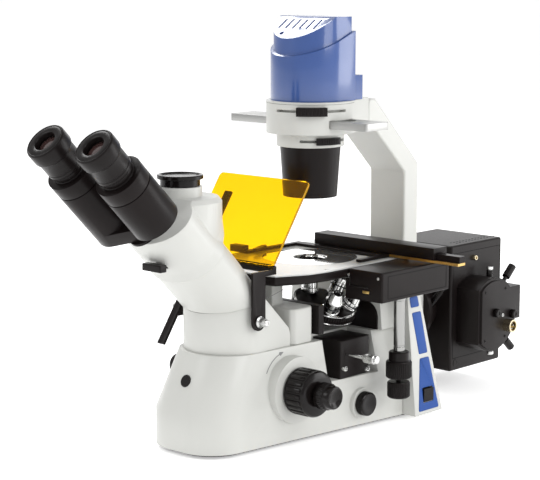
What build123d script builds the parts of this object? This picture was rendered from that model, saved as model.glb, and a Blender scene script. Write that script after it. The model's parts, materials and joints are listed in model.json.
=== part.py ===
"""Inverted microscope with a trinocular head, a mechanical stage and a rear lamp house.

Millimetres. X runs to the user's right, Y from the eyepieces to the rear, Z up.
The origin is on the table, under the optical axis.
"""
import os
from math import cos, radians, sin

from build123d import *

os.makedirs("parts", exist_ok=True)

# Fits shared by mating pieces
running_fit = 0.05        # radial clearance of a shaft in its bore
slide_gap = 0.4           # gap around a sliding or turning piece
edge_break = 1.0          # chamfer of a small turned or milled edge

# Base casting
foot_radius = 11.0
foot_height = 3.0
foot_front_y = -160.0
foot_rear_y = 90.0
foot_front_x = 34.0
foot_rear_x = 64.0
floor_plate_thickness = 2.0
floor_plate_inset = 4.0
skirt_top = 46.0          # level where the vertical skirt turns into the leaning side
base_top = 109.0
base_rear = 72.0
skirt_front = -220.0
skirt_half_front = 53.0
skirt_half_rear = 83.0
skirt_nose_radius = 45.0
shoulder_front = -190.0
shoulder_half_front = 47.0
shoulder_half_rear = 66.0
shoulder_nose_radius = 44.0
base_low = foot_height + floor_plate_thickness

# Focus drive, axis along X
focus_y = -97.0
focus_z = 62.5
sleeve_radius = 9.0
fine_shaft_radius = 5.0
boss_radius = 37.5
boss_face = 69.0
coarse_radius = 26.5
coarse_end = 100.0
coarse_chamfer = 4.0
coarse_flutes = 24
coarse_flute_depth = 1.2
fine_start = 103.0
fine_radius = 15.0
fine_end = 116.0
fine_cap_radius = 13.2
fine_cap_end = 124.0
fine_flutes = 18
fine_flute_depth = 1.0

# Brightness knob, axis along X
bright_y = 3.0
bright_z = 31.0
bright_boss_radius = 17.5
bright_boss_face = 79.0
bright_radius = 14.0
bright_length = 10.0
bright_stem_radius = 3.0
bright_stem_length = 12.0

# Tower, head seam and focus block
tower_half = 50.0
tower_centre_y = -137.0
tower_rear = -89.0
seam_front_z = 154.5
seam_rear_y = -129.7
seam_rear_z = 167.7
tower_slope_end_y = -92.0
tower_slope_end_z = 130.0
tower_slope_drop = 8.0
block_half = 54.0
block_rear = -53.0
block_top = 150.0
block_chamfer = 5.0
post_half = 22.0
post_rear = -70.0

# Rear housing, wings and inlays
housing_front = 45.0
housing_rear = 172.0
housing_half_low = 82.0
housing_half_top = 65.0
housing_step_y = 108.0      # where the wide front part ends
column_half = 34.0
housing_taper = 2.0        # how much narrower the housing is at its rear
housing_corner = 0.5
wing_low_x = 102.0
wing_lean = 0.112         # how far the wing face leans inwards for each unit of height
wing_top = 158.0
wing_inner_x = 58.0
wing_front_low = 72.5
wing_front_top = 75.0
wing_rear_low = 123.6
wing_rear_top = 96.0
inlay_depth = 1.0
inlay_thickness = 1.5
inlay_corner = 2.0
# Each inlay: low level, its front and rear edge there, top level, its front and rear edge there
inlays = (
    (9.0, 80.0, 118.0, 71.0, 89.0, 106.0),
    (76.0, 88.4, 104.5, 126.0, 81.0, 97.5),
    (132.0, 80.0, 95.5, 144.5, 78.5, 93.5),
)
liner_thickness = 2.0
liner_half = 66.0
liner_top = 141.0
liner_corner = 18.0

# Power rocker in the right wing, and the power inlet at the rear
rocker_y = 99.0
rocker_z = 27.0
rocker_width = 18.0
rocker_height = 15.0
rocker_depth = 6.0
rocker_margin = 1.3
rocker_low_edge = 1.0
rocker_high_edge = 2.8
inlet_x = -12.0
inlet_z = 19.0
inlet_width = 28.0
inlet_height = 21.0
inlet_depth = 18.0
inlet_wall = 2.5
inlet_bezel = 1.5
inlet_rim = 2.0            # how far the bezel laps over the housing

# Filter box and slider
filter_inner_x = 28.0
filter_face_x = 70.0
filter_front = -26.0
filter_rear = 25.0
filter_low = 62.0
filter_top = 106.5
recess_front = -44.0
recess_rear = 35.0
filter_rod_radius = 2.2
filter_rod_y = -16.0
filter_rod_z = 90.0
filter_rod_inner = 42.0
filter_knob_start = 97.0
filter_knob_end = 116.0
filter_knob_radius = 5.5
filter_travel = 20.0

# Stage
stage_low = 181.0
stage_top = 193.0
stage_half = 80.0
stage_front = -127.0
stage_front_half = 40.0
stage_corner_x = 58.0
stage_corner_y = -123.0
stage_shoulder_x = 76.0
stage_shoulder_y = -86.0
stage_straight_y = -58.0
stage_rear = 123.0
stage_bevel = 3.0
sheet_thickness = 1.5
sheet_inset = 1.2
insert_radius = 55.0
insert_thickness = 3.5
insert_ledge = 5.0
light_hole_radius = 19.0

# Mechanical stage housing and drive knobs
drive_box_inner = 83.0
drive_box_outer = 131.0
drive_box_front = -27.0
drive_box_rear = 95.0
drive_box_round = 2.0
drive_box_low = 158.0
drive_box_top = 192.4
drive_cheek_inner = 77.0
drive_cheek_rear = -18.0
drive_flange_inner = 69.0
drive_flange_front = -10.0
drive_flange_rear = 70.0
drive_flange_low = 174.0
drive_x = 106.0
drive_y = 35.0
drive_tube_radius = 6.5
drive_tube_low = 91.5
drive_sleeve_radius = 5.0
drive_shaft_radius = 3.0
upper_knob_radius = 15.0
upper_knob_low = 60.0
upper_knob_top = 80.0
upper_cap_radius = 11.8
upper_cap_top = 91.0
lower_knob_radius = 13.2
lower_knob_low = 36.7
lower_knob_top = 55.6
drive_shaft_top = 140.0

# Guide bar, rack and specimen holder
bar_left = -43.0
bar_right = 137.0
bar_front = 57.0
bar_rear = 81.0
bar_low = 197.0
bar_top = 210.5
channel_front = 61.5
channel_rear = 72.5
channel_top = 204.5
keel_front = 73.5
keel_rear = 80.0
keel_low = 182.0
strip_left = -40.0
strip_right = 170.0
rack_low = 193.6
rack_top = 196.6
rack_front = 59.0
rail_front = 47.0
leg_inner = 64.2
leg_outer = 71.2
left_leg_front = -38.0
right_leg_front = 7.0
clamp_left = -92.0
clamp_rear = -28.0
clamp_top = 201.6
finger_pivot_x = -67.7
finger_pivot_y = -5.0
finger_tip_x = -58.0
finger_tip_y = -30.0
finger_half = 3.0
finger_thickness = 2.4
finger_pin_radius = 1.5

# Nosepiece: the turret leans so that the objective in use stands upright
turret_lean = 20.0
turret_radius = 38.0
turret_thickness = 12.0
turret_chamfer = 2.0
turret_x = 24.0
turret_z = 143.0
seat_circle = 25.5
seat_count = 5
objective_lengths = {0: 36.0, 2: 31.0, 3: 24.0, 4: 34.0}  # by seat; the seat left out stays empty
objective_thread = 5.0
objective_taper = 12.0
objective_body_radius = 10.4
objective_nose_radius = 5.5
turret_pin_radius = 6.0
carriage_half = 60.0
carriage_arm = 25.0       # width of the arm from the plate to the turret's pad
carriage_front = -52.6
carriage_back = -44.0
carriage_low = 117.0
carriage_top = 150.0
carriage_pad_radius = 24.0
carriage_pad_thickness = 7.0
light_path_radius = 9.0

# Illumination arm, lamp carrier, lamp cover and condenser
arm_half = 27.0
arm_front = 141.0
arm_rear = 168.0
arm_bend_front_z = 282.0
arm_bend_rear_z = 291.0
arm_joint_y = 72.0
arm_joint_low = 343.0
arm_joint_top = 374.0
arm_joint_step = 6.0       # short level stretch under the arm's front end
arm_crown_y = 85.0
arm_round = 3.0
carrier_radius = 51.0
carrier_low = 339.0
carrier_top = 376.0
carrier_taper_y = 10.0
lamp_bore_radius = 19.0
phase_left = -109.0
phase_right = 100.0
phase_half = 20.0
phase_corner = 3.0
phase_low = 346.5
phase_top = 355.0
phase_windows = 3
phase_window_pitch = 52.0
phase_window_radius = 13.0
lever_plate = 2.0         # thickness of a diaphragm lever inside its groove
groove_arc = 100.0
field_azimuth = -47.0
field_low = 361.0
field_top = 371.0
field_inner = 44.0
field_outer = 57.5
field_arc = 36.0
collar_radius = 38.8
collar_low = 323.5
aperture_azimuth = -17.0
aperture_low = 327.0
aperture_top = 335.0
aperture_inner = 32.0
aperture_outer = 43.0
aperture_arc = 44.0
condenser_low = 265.0
condenser_top_radius = 35.0
condenser_low_radius = 31.0
condenser_lens_radius = 24.0
condenser_lens_thickness = 6.0
condenser_lens_inset = 1.0
cover_radius = 46.0
cover_back = 25.0
cover_ledge_front_z = 427.0
cover_ledge_back_z = 455.0
crown_radius = 42.5
crown_back = 22.0
crown_front_z = 447.0
crown_flat_y = -5.0
cover_top = 471.0
crown_slots = 6
crown_slot_pitch = 10.5
crown_slot_length = 18.0
crown_slot_width = 2.4
crown_slot_shift = 7.0
crown_hole_radius = 2.6
crown_hole_x = -14.0
crown_hole_shift = -12.0
crown_slot_depth = 2.0
cover_box_half = 40.0
cover_box_back = 45.0
cover_box_top = 404.0

# Trinocular head, in the direction of the tilted tubes
head_port_y = -210.0
head_port_radius = 45.0
head_low = 222.5
head_top = 285.0
neck_run_in = 15.0         # how far the neck starts below the seam, before it is cut
neck_run_out = 10.0
head_shoulder = 5.0        # height of the leaning shoulder round the top of the drum
head_shoulder_lean = 40.0
collar_port_radius = 23.5
collar_port_top = 296.0
cap_neck_radius = 21.5
cap_neck_height = 7.5
cap_flange_radius = 25.0
cap_flange_height = 5.0
cap_dish_depth = 2.0
cap_plug_radius = 15.0
cap_plug_depth = 10.0
tilt_origin_y = -262.7   # where the tube hinge axis meets the front of the head
tilt_origin_z = 250.7
hinge_pin_radius = 7.0
hinge_pin_depth = 10.0
hinge_disc_radius = 18.0
hinge_disc_thickness = 3.0
tube_offset = 37.0
tube_radius = 26.5
arm_thickness = 17.4
left_arm_low = 3.4
right_arm_low = 27.0
left_hub_radius = 14.0
right_hub_radius = 9.3
tube_top = 99.0
tube_ring_low = 81.0
ring_groove = 1.0
eyepiece_seat = 62.0
eyepiece_radius = 19.0
eyepiece_body_low = 107.0
eyepiece_body_radius = 20.5
eyecup_low = 129.0
eyecup_radius = 22.5
eyecup_top = 145.5
eyecup_bore = 15.0
eyecup_floor = 138.0
eye_lens_radius = 12.0
eye_lens_thickness = 4.0
selector_x = 8.0
selector_y = -246.0
selector_z = 214.0
selector_length = 28.0
selector_height = 8.0
selector_depth = 10.0
selector_overlap = 4.0     # how far the stem runs into the grip
selector_round = 1.5
selector_stem_length = 12.0
selector_stem_height = 4.0
selector_stem_depth = 10.0
selector_travel = 14.0

# Amber shield and its holder
pivot_y = -146.5
pivot_z = 145.5
shield_left = -80.0
shield_right = 57.0
shield_foot_y = -123.5
shield_foot_z = 203.0
shield_head_y = -63.5
shield_head_z = 290.0
shield_height = 105.7
shield_thickness = 3.0
shield_corner = 5.0
bar_strip_x = -58.0
bar_strip_width = 10.0
bar_strip_thickness = 3.5
bar_strip_top = 31.0
bar_strip_low = -164.0
cross_strip_height = 9.0
cross_strip_overlap = 2.5  # how far it runs up behind the shield
strap_inner_x = 53.5
strap_thickness = 3.0
strap_eye_radius = 10.0
strap_tongue_low = 194.5   # underside of the tongue from the strap back to the shield
lug_radius = 6.0
lug_reach = 12.0
screw_shank_radius = 3.0
screw_depth = 10.0
screw_shoulder_radius = 5.0
screw_head_radius = 6.5
screw_head_length = 12.0

# Fluorescence lamp house behind the stand
lamp_half = 52.0
lamp_front = 204.0
lamp_rear = 309.0
lamp_low = 28.0
lamp_top = 186.0
lamp_round = 3.0
lamp_axis_z = 105.0
collector_radius = 30.0
collector_flange_radius = 44.0
collector_flange_thickness = 6.0
end_y = 247.0
end_z = 99.0
end_radius = 46.0
end_flat_y = 216.0
end_start = 52.0
end_face = 86.0
end_plate_radius = 43.0
end_plate_thickness = 3.0
end_plate_inset = 3.0
end_box_rear = 309.0
end_box_low = 86.0
end_box_top = 128.0
end_box_inner = 56.0
end_box_outer = 82.0
connector_y = 270.0
connector_z = 83.0
connector_radius = 8.0
connector_length = 11.0
connector_wall = 2.0
adjuster_x = 72.0
adjuster_angles = (42.0, -42.0)
adjuster_stem_radius = 2.5
adjuster_knob_radius = 5.0
adjuster_knob_start = 60.0
adjuster_knob_end = 78.0
adjuster_seat = 36.0

# Planes used by several pieces
seam_plane = Plane(
    origin=(0, tower_centre_y - tower_half, seam_front_z),
    x_dir=(1, 0, 0),
    z_dir=(0, seam_front_z - seam_rear_z, seam_rear_y - tower_centre_y + tower_half),
)
tube_plane = Plane(origin=(0, tilt_origin_y, tilt_origin_z), x_dir=(1, 0, 0), z_dir=(0, -1, 1))
wing_plane = Plane(
    origin=(wing_low_x - wing_lean * base_low, 0, base_low),
    x_dir=(0, 1, 0),
    z_dir=(1, 0, wing_lean),
)
wing_slant = (1 + wing_lean**2) ** 0.5
shield_plane = Plane(
    origin=(0, (shield_foot_y + shield_head_y) / 2, (shield_foot_z + shield_head_z) / 2),
    x_dir=(1, 0, 0),
    z_dir=(0, shield_foot_z - shield_head_z, shield_head_y - shield_foot_y),
)
turret_axis = Vector(sin(radians(turret_lean)), 0, cos(radians(turret_lean)))
turret_plane = Plane(
    origin=(turret_x, 0, turret_z),
    x_dir=(cos(radians(turret_lean)), 0, -sin(radians(turret_lean))),
    z_dir=turret_axis,
)


def save(builder, name):
    """Label one finished piece and write its file."""
    builder.part.label = name
    export_step(builder.part, f"parts/{name}.step")


def flared_plan(level, front, rear, half_front, half_rear, nose_radius):
    """Plan of the base at one level: flared straight sides and a round nose."""
    with BuildSketch(Plane.XY.offset(level)) as plan:
        with BuildLine():
            Polyline(
                (-half_front, front),
                (half_front, front),
                (half_rear, rear),
                (-half_rear, rear),
                close=True,
            )
        make_face()
        fillet(plan.vertices().group_by(Axis.Y)[0], nose_radius)
    return plan.sketch


def stage_plan(level, inset):
    """Plan of the stage at one level, drawn in by an inset."""
    with BuildSketch(Plane.XY.offset(level)) as plan:
        with BuildLine():
            Polyline(
                (-stage_front_half, stage_front),
                (stage_front_half, stage_front),
                (stage_corner_x, stage_corner_y),
                (stage_shoulder_x, stage_shoulder_y),
                (stage_half, stage_straight_y),
                (stage_half, stage_rear),
                (-stage_half, stage_rear),
                (-stage_half, stage_straight_y),
                (-stage_shoulder_x, stage_shoulder_y),
                (-stage_corner_x, stage_corner_y),
                close=True,
            )
        make_face()
        if inset > 0:
            offset(amount=-inset)
    return plan.sketch


def inlay_faces(plane):
    """The three inlay outlines on a wing face."""
    with BuildSketch(plane) as faces:
        for low, low_front, low_rear, top, top_front, top_rear in inlays:
            with BuildSketch(plane, mode=Mode.PRIVATE) as one:
                with BuildLine():
                    Polyline(
                        (low_front, (low - base_low) * wing_slant),
                        (low_rear, (low - base_low) * wing_slant),
                        (top_rear, (top - base_low) * wing_slant),
                        (top_front, (top - base_low) * wing_slant),
                        close=True,
                    )
                make_face()
                fillet(one.vertices(), inlay_corner)
            add(one.sketch_local)
    return faces.sketch


def notches(radius, depth, count):
    """A ring of square notches, each set on its corner so that it cuts a V of this depth."""
    with PolarLocations(radius, count):
        Rectangle(depth * 2**0.5, depth * 2**0.5, rotation=45)


def ring_sector(level, inner, outer, azimuth, arc):
    """A flat ring sector on one level, centred on an azimuth."""
    start = azimuth - arc / 2
    with BuildSketch(Plane.XY.offset(level)) as sector:
        with BuildLine():
            CenterArc((0, 0), outer, start, arc)
            CenterArc((0, 0), inner, start, arc)
            Line(
                (inner * cos(radians(start)), inner * sin(radians(start))),
                (outer * cos(radians(start)), outer * sin(radians(start))),
            )
            Line(
                (inner * cos(radians(start + arc)), inner * sin(radians(start + arc))),
                (outer * cos(radians(start + arc)), outer * sin(radians(start + arc))),
            )
        make_face()
    return sector.sketch


def lever_groove(level, inner, outer, azimuth):
    """Cut the groove that a diaphragm lever turns in, centred on one level."""
    extrude(
        ring_sector(level - lever_plate / 2 - slide_gap, inner - slide_gap, outer + 1, azimuth, groove_arc),
        amount=lever_plate + 2 * slide_gap,
        mode=Mode.SUBTRACT,
    )


def lever(low, top, inner, rim, outer, azimuth, arc):
    """A diaphragm lever: a thin plate inside the rim and a thicker grip outside it."""
    with BuildPart() as piece:
        extrude(
            ring_sector((low + top - lever_plate) / 2, inner, outer, azimuth, arc),
            amount=lever_plate,
        )
        extrude(ring_sector(low, rim + slide_gap, outer, azimuth, arc), amount=top - low)
    return piece


def d_plan(level, radius, back):
    """Plan of the lamp cover: a half circle in front and straight sides to the back."""
    with BuildSketch(Plane.XY.offset(level)) as plan:
        Circle(radius)
        with Locations((0, back / 2)):
            Rectangle(2 * radius, back)
        with Locations((0, back + radius / 2)):
            Rectangle(2 * radius, radius, mode=Mode.SUBTRACT)
    return plan.sketch


# Base casting, with the recess for the filter box and the bores of both drives
with BuildPart() as base_casting:
    extrude(
        flared_plan(base_low, skirt_front, base_rear, skirt_half_front, skirt_half_rear, skirt_nose_radius),
        amount=skirt_top - base_low,
    )
    loft(
        [
            flared_plan(
                skirt_top, skirt_front, base_rear, skirt_half_front, skirt_half_rear, skirt_nose_radius
            ),
            flared_plan(
                base_top,
                shoulder_front,
                base_rear,
                shoulder_half_front,
                shoulder_half_rear,
                shoulder_nose_radius,
            ),
        ],
        ruled=True,
    )
    with BuildSketch(Plane.YZ.offset(-boss_face)):
        with Locations((focus_y, focus_z)):
            Circle(boss_radius)
    extrude(amount=2 * boss_face)
    with BuildSketch(Plane.YZ):
        with Locations((bright_y, bright_z)):
            Circle(bright_boss_radius)
    extrude(amount=bright_boss_face)
    with Locations(((filter_inner_x + wing_low_x) / 2, (recess_front + recess_rear) / 2, base_top)):
        Box(
            wing_low_x - filter_inner_x,
            recess_rear - recess_front,
            2 * (base_top - filter_low),
            mode=Mode.SUBTRACT,
        )
    with BuildSketch(Plane.YZ.offset(-wing_low_x)):
        with Locations((focus_y, focus_z)):
            Circle(sleeve_radius + running_fit)
    extrude(amount=2 * wing_low_x, mode=Mode.SUBTRACT)
    with BuildSketch(Plane.YZ.offset(bright_boss_face)):
        with Locations((bright_y, bright_z)):
            Circle(bright_stem_radius + running_fit)
    extrude(amount=-bright_stem_length - slide_gap, mode=Mode.SUBTRACT)
    with BuildSketch(Plane.YZ.offset(filter_inner_x)):
        with Locations((filter_rod_y, filter_rod_z)):
            Circle(filter_rod_radius + slide_gap)
    extrude(amount=-filter_travel - slide_gap, mode=Mode.SUBTRACT)
save(base_casting, "base_casting")

with BuildPart() as floor_plate:
    with BuildSketch(Plane.XY.offset(foot_height)) as floor_plan:
        with BuildLine():
            Polyline(
                (-skirt_half_front, skirt_front),
                (skirt_half_front, skirt_front),
                (skirt_half_rear, base_rear),
                (skirt_half_rear - housing_taper, housing_step_y),
                (column_half, housing_step_y),
                (column_half, housing_rear),
                (-column_half, housing_rear),
                (-column_half, housing_step_y),
                (-skirt_half_rear + housing_taper, housing_step_y),
                (-skirt_half_rear, base_rear),
                close=True,
            )
        make_face()
        fillet(floor_plan.vertices().group_by(Axis.Y)[0], skirt_nose_radius)
        offset(amount=-floor_plate_inset)
    extrude(amount=floor_plate_thickness)
save(floor_plate, "floor_plate")

with BuildPart() as rubber_feet:
    with BuildSketch(Plane.XY):
        with Locations(
            (-foot_front_x, foot_front_y),
            (foot_front_x, foot_front_y),
            (-foot_rear_x, foot_rear_y),
            (foot_rear_x, foot_rear_y),
        ):
            Circle(foot_radius)
    extrude(amount=foot_height)
save(rubber_feet, "rubber_feet")

# Front tower: a round-nosed plan cut to its side profile
with BuildPart() as front_tower:
    with BuildSketch(Plane.XY.offset(base_top)):
        with Locations((0, tower_centre_y)):
            Circle(tower_half)
        with Locations((0, (tower_centre_y + tower_rear) / 2)):
            Rectangle(2 * tower_half, tower_rear - tower_centre_y)
        with Locations((0, tower_rear + tower_half / 2)):
            Rectangle(2 * tower_half, tower_half, mode=Mode.SUBTRACT)
    extrude(amount=seam_rear_z - base_top)
    with BuildSketch(Plane.YZ.offset(-tower_half)):
        with BuildLine():
            Polyline(
                (tower_centre_y - tower_half, base_top),
                (tower_centre_y - tower_half, seam_front_z),
                (seam_rear_y, seam_rear_z),
                (tower_slope_end_y, tower_slope_end_z),
                (tower_rear, tower_slope_end_z - tower_slope_drop),
                (tower_rear, base_top),
                close=True,
            )
        make_face()
    extrude(amount=2 * tower_half, mode=Mode.INTERSECT)
    with BuildSketch(Plane.YZ.offset(-tower_half)):
        with Locations((pivot_y, pivot_z)):
            Circle(screw_shank_radius)
    extrude(amount=screw_depth, mode=Mode.SUBTRACT)
    with BuildSketch(Plane.YZ.offset(tower_half)):
        with Locations((pivot_y, pivot_z)):
            Circle(screw_shank_radius)
    extrude(amount=-screw_depth, mode=Mode.SUBTRACT)
save(front_tower, "front_tower")

with BuildPart() as focus_block:
    with BuildSketch(Plane.XY.offset(base_top)) as block_plan:
        with Locations((0, (tower_rear + block_rear) / 2)):
            Rectangle(2 * block_half, block_rear - tower_rear)
        chamfer(block_plan.vertices(), block_chamfer)
    extrude(amount=block_top - base_top)
    with BuildSketch(Plane.XY.offset(block_top)):
        with Locations((0, (tower_rear + post_rear) / 2)):
            Rectangle(2 * post_half, post_rear - tower_rear)
    extrude(amount=stage_low - block_top)
save(focus_block, "focus_block")

# Rear housing with a flared wing on each side
with BuildPart() as rear_housing:
    loft(
        [
            flared_plan(
                base_low,
                housing_front,
                housing_step_y,
                housing_half_low,
                housing_half_low - housing_taper,
                housing_corner,
            ),
            flared_plan(
                stage_low,
                housing_front,
                housing_step_y,
                housing_half_top,
                housing_half_top - housing_taper,
                housing_corner,
            ),
        ],
        ruled=True,
    )
    with Locations((0, (housing_front + housing_rear) / 2, (base_low + stage_low) / 2)):
        Box(2 * column_half, housing_rear - housing_front, stage_low - base_low)
    with Locations((0, (housing_front + base_rear) / 2, base_low)):
        Box(
            4 * housing_half_low,
            base_rear - housing_front,
            2 * (base_top - base_low),
            mode=Mode.SUBTRACT,
        )
    with BuildSketch(Plane.XY.offset(base_low)) as wing_foot:
        with BuildLine():
            Polyline(
                (wing_inner_x, wing_front_low),
                (wing_low_x - wing_lean * base_low, wing_front_low),
                (wing_low_x - wing_lean * base_low, wing_rear_low),
                (wing_inner_x, wing_rear_low),
                close=True,
            )
        make_face()
    with BuildSketch(Plane.XY.offset(wing_top)) as wing_head:
        with BuildLine():
            Polyline(
                (wing_inner_x, wing_front_top),
                (wing_low_x - wing_lean * wing_top, wing_front_top),
                (wing_low_x - wing_lean * wing_top, wing_rear_top),
                (wing_inner_x, wing_rear_top),
                close=True,
            )
        make_face()
    loft(ruled=True)
    extrude(inlay_faces(wing_plane), amount=-inlay_depth, mode=Mode.SUBTRACT)
    split(bisect_by=Plane.YZ, keep=Keep.TOP)
    mirror(about=Plane.YZ)
    with BuildSketch(wing_plane):
        with Locations((rocker_y, (rocker_z - base_low) * wing_slant)):
            Rectangle(rocker_width + 2 * slide_gap, rocker_height + 2 * rocker_margin)
    extrude(amount=-rocker_depth - rocker_margin, mode=Mode.SUBTRACT)
    with Locations((inlet_x, housing_rear - inlet_depth / 2, inlet_z)):
        Box(inlet_width, inlet_depth, inlet_height, mode=Mode.SUBTRACT)
save(rear_housing, "rear_housing")

with BuildPart() as blue_inlays:
    extrude(inlay_faces(wing_plane.offset(-inlay_depth)), amount=inlay_thickness)
    mirror(about=Plane.YZ)
    with BuildSketch(wing_plane.offset(inlay_thickness)):
        with Locations((rocker_y, (rocker_z - base_low) * wing_slant)):
            Rectangle(rocker_width + 2 * slide_gap, rocker_height + 2 * rocker_margin)
    extrude(amount=-2 * inlay_thickness, mode=Mode.SUBTRACT)
save(blue_inlays, "blue_inlays")

with BuildPart() as arch_liner:
    with BuildSketch(Plane.XZ.offset(-housing_front)) as liner_face:
        with Locations((0, (base_top + liner_top) / 2)):
            Rectangle(2 * liner_half, liner_top - base_top)
        fillet(liner_face.vertices().group_by(Axis.Y)[-1], liner_corner)
    extrude(amount=liner_thickness)
save(arch_liner, "arch_liner")

# Power rocker, turning about an axis along Y inside its pocket, and the power inlet
with BuildPart() as power_rocker:
    with BuildSketch(
        Plane(
            origin=wing_plane.from_local_coords(
                (rocker_y - rocker_width / 2, (rocker_z - base_low) * wing_slant, 0)
            ),
            x_dir=wing_plane.z_dir,
            z_dir=(0, 1, 0),
        )
    ):
        with BuildLine():
            Polyline(
                (-rocker_depth, rocker_height / 2),
                (rocker_low_edge, rocker_height / 2),
                (rocker_high_edge, -rocker_height / 2),
                (-rocker_depth, -rocker_height / 2),
                close=True,
            )
        make_face()
    extrude(amount=rocker_width)
save(power_rocker, "power_rocker")

with BuildPart() as power_inlet:
    with Locations((inlet_x, housing_rear - inlet_depth / 2, inlet_z)):
        Box(inlet_width, inlet_depth, inlet_height)
    with Locations((inlet_x, housing_rear + inlet_bezel / 2, inlet_z)):
        Box(inlet_width + 2 * inlet_rim, inlet_bezel, inlet_height + 2 * inlet_rim)
    with Locations((inlet_x, housing_rear + inlet_bezel, inlet_z)):
        Box(
            inlet_width - 2 * inlet_wall,
            2 * (inlet_depth - inlet_wall),
            inlet_height - 2 * inlet_wall,
            mode=Mode.SUBTRACT,
        )
save(power_inlet, "power_inlet")

# Coarse and fine focus on one axis, a knob of each on both sides
with BuildPart() as coarse_sleeve:
    with BuildSketch(Plane.YZ.offset(-coarse_end)):
        with Locations((focus_y, focus_z)):
            Circle(sleeve_radius)
            Circle(fine_shaft_radius + running_fit, mode=Mode.SUBTRACT)
    extrude(amount=2 * coarse_end)
save(coarse_sleeve, "coarse_sleeve")

coarse_start = boss_face + slide_gap
with BuildPart() as coarse_knobs:
    with BuildSketch(Plane.YZ.offset(coarse_start)):
        with Locations((focus_y, focus_z)):
            Circle(coarse_radius)
            Circle(sleeve_radius, mode=Mode.SUBTRACT)
    extrude(amount=coarse_end - coarse_start)
    chamfer(
        coarse_knobs.edges().filter_by(GeomType.CIRCLE).group_by(SortBy.RADIUS)[-1].sort_by(Axis.X)[-1],
        coarse_chamfer,
    )
    with BuildSketch(Plane.YZ.offset(coarse_start)):
        with Locations((focus_y, focus_z)):
            notches(coarse_radius, coarse_flute_depth, coarse_flutes)
    extrude(amount=coarse_end - coarse_start, mode=Mode.SUBTRACT)
    mirror(about=Plane.YZ)
save(coarse_knobs, "coarse_knobs")

with BuildPart() as fine_shaft:
    with BuildSketch(Plane.YZ.offset(-fine_end)):
        with Locations((focus_y, focus_z)):
            Circle(fine_shaft_radius)
    extrude(amount=2 * fine_end)
save(fine_shaft, "fine_shaft")

with BuildPart() as fine_knobs:
    with BuildSketch(Plane.YZ.offset(fine_start)):
        with Locations((focus_y, focus_z)):
            Circle(fine_radius)
    extrude(amount=fine_end - fine_start)
    with BuildSketch(Plane.YZ.offset(fine_start)):
        with Locations((focus_y, focus_z)):
            notches(fine_radius, fine_flute_depth, fine_flutes)
    extrude(amount=fine_end - fine_start, mode=Mode.SUBTRACT)
    with BuildSketch(Plane.YZ.offset(fine_end)):
        with Locations((focus_y, focus_z)):
            Circle(fine_cap_radius)
    extrude(amount=fine_cap_end - fine_end)
    chamfer(fine_knobs.faces().sort_by(Axis.X)[-1].edges(), edge_break)
    with BuildSketch(Plane.YZ.offset(fine_start)):
        with Locations((focus_y, focus_z)):
            Circle(fine_shaft_radius)
    extrude(amount=fine_end - fine_start, mode=Mode.SUBTRACT)
    mirror(about=Plane.YZ)
save(fine_knobs, "fine_knobs")

with BuildPart() as brightness_knob:
    with BuildSketch(Plane.YZ.offset(bright_boss_face + slide_gap)):
        with Locations((bright_y, bright_z)):
            Circle(bright_radius)
    extrude(amount=bright_length)
    chamfer(brightness_knob.faces().sort_by(Axis.X)[-1].edges(), edge_break)
    with BuildSketch(Plane.YZ.offset(bright_boss_face + slide_gap)):
        with Locations((bright_y, bright_z)):
            Circle(bright_stem_radius)
    extrude(amount=-bright_stem_length)
save(brightness_knob, "brightness_knob")

# Filter box in the side recess, and its slider
with BuildPart() as filter_box:
    with Locations(
        (
            (filter_inner_x + filter_face_x) / 2,
            (filter_front + filter_rear) / 2,
            (filter_low + filter_top) / 2,
        )
    ):
        Box(filter_face_x - filter_inner_x, filter_rear - filter_front, filter_top - filter_low)
    chamfer(filter_box.faces().sort_by(Axis.X)[-1].edges(), edge_break)
    with BuildSketch(Plane.YZ.offset(filter_inner_x)):
        with Locations((filter_rod_y, filter_rod_z)):
            Circle(filter_rod_radius + running_fit)
    extrude(amount=filter_face_x - filter_inner_x, mode=Mode.SUBTRACT)
save(filter_box, "filter_box")

with BuildPart() as filter_slider:
    with BuildSketch(Plane.YZ.offset(filter_rod_inner)):
        with Locations((filter_rod_y, filter_rod_z)):
            Circle(filter_rod_radius)
    extrude(amount=filter_knob_start - filter_rod_inner)
    with BuildSketch(Plane.YZ.offset(filter_knob_start)):
        with Locations((filter_rod_y, filter_rod_z)):
            Circle(filter_knob_radius)
    extrude(amount=filter_knob_end - filter_knob_start)
    chamfer(filter_slider.faces().sort_by(Axis.X)[-1].edges(), edge_break)
save(filter_slider, "filter_slider")

# Stage casting, top sheet and round insert
with BuildPart() as stage_casting:
    extrude(stage_plan(stage_low, 0), amount=stage_top - sheet_thickness - stage_low)
    chamfer(stage_casting.faces().sort_by(Axis.Z)[0].edges(), stage_bevel)
    with BuildSketch(Plane.XY.offset(stage_top - insert_thickness)):
        Circle(insert_radius)
    extrude(amount=insert_thickness, mode=Mode.SUBTRACT)
    with BuildSketch(Plane.XY.offset(stage_low)):
        Circle(insert_radius - insert_ledge)
    extrude(amount=stage_top - stage_low, mode=Mode.SUBTRACT)
save(stage_casting, "stage_casting")

with BuildPart() as stage_sheet:
    extrude(stage_plan(stage_top - sheet_thickness, sheet_inset), amount=sheet_thickness)
    with BuildSketch(Plane.XY.offset(stage_top - sheet_thickness)):
        Circle(insert_radius)
    extrude(amount=sheet_thickness, mode=Mode.SUBTRACT)
save(stage_sheet, "stage_sheet")

with BuildPart() as stage_insert:
    with BuildSketch(Plane.XY.offset(stage_top - insert_thickness)):
        Circle(insert_radius)
        Circle(light_hole_radius, mode=Mode.SUBTRACT)
    extrude(amount=insert_thickness)
    chamfer(
        stage_insert.edges().filter_by(GeomType.CIRCLE).group_by(SortBy.RADIUS)[0].sort_by(Axis.Z)[-1],
        edge_break,
    )
save(stage_insert, "stage_insert")

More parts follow.
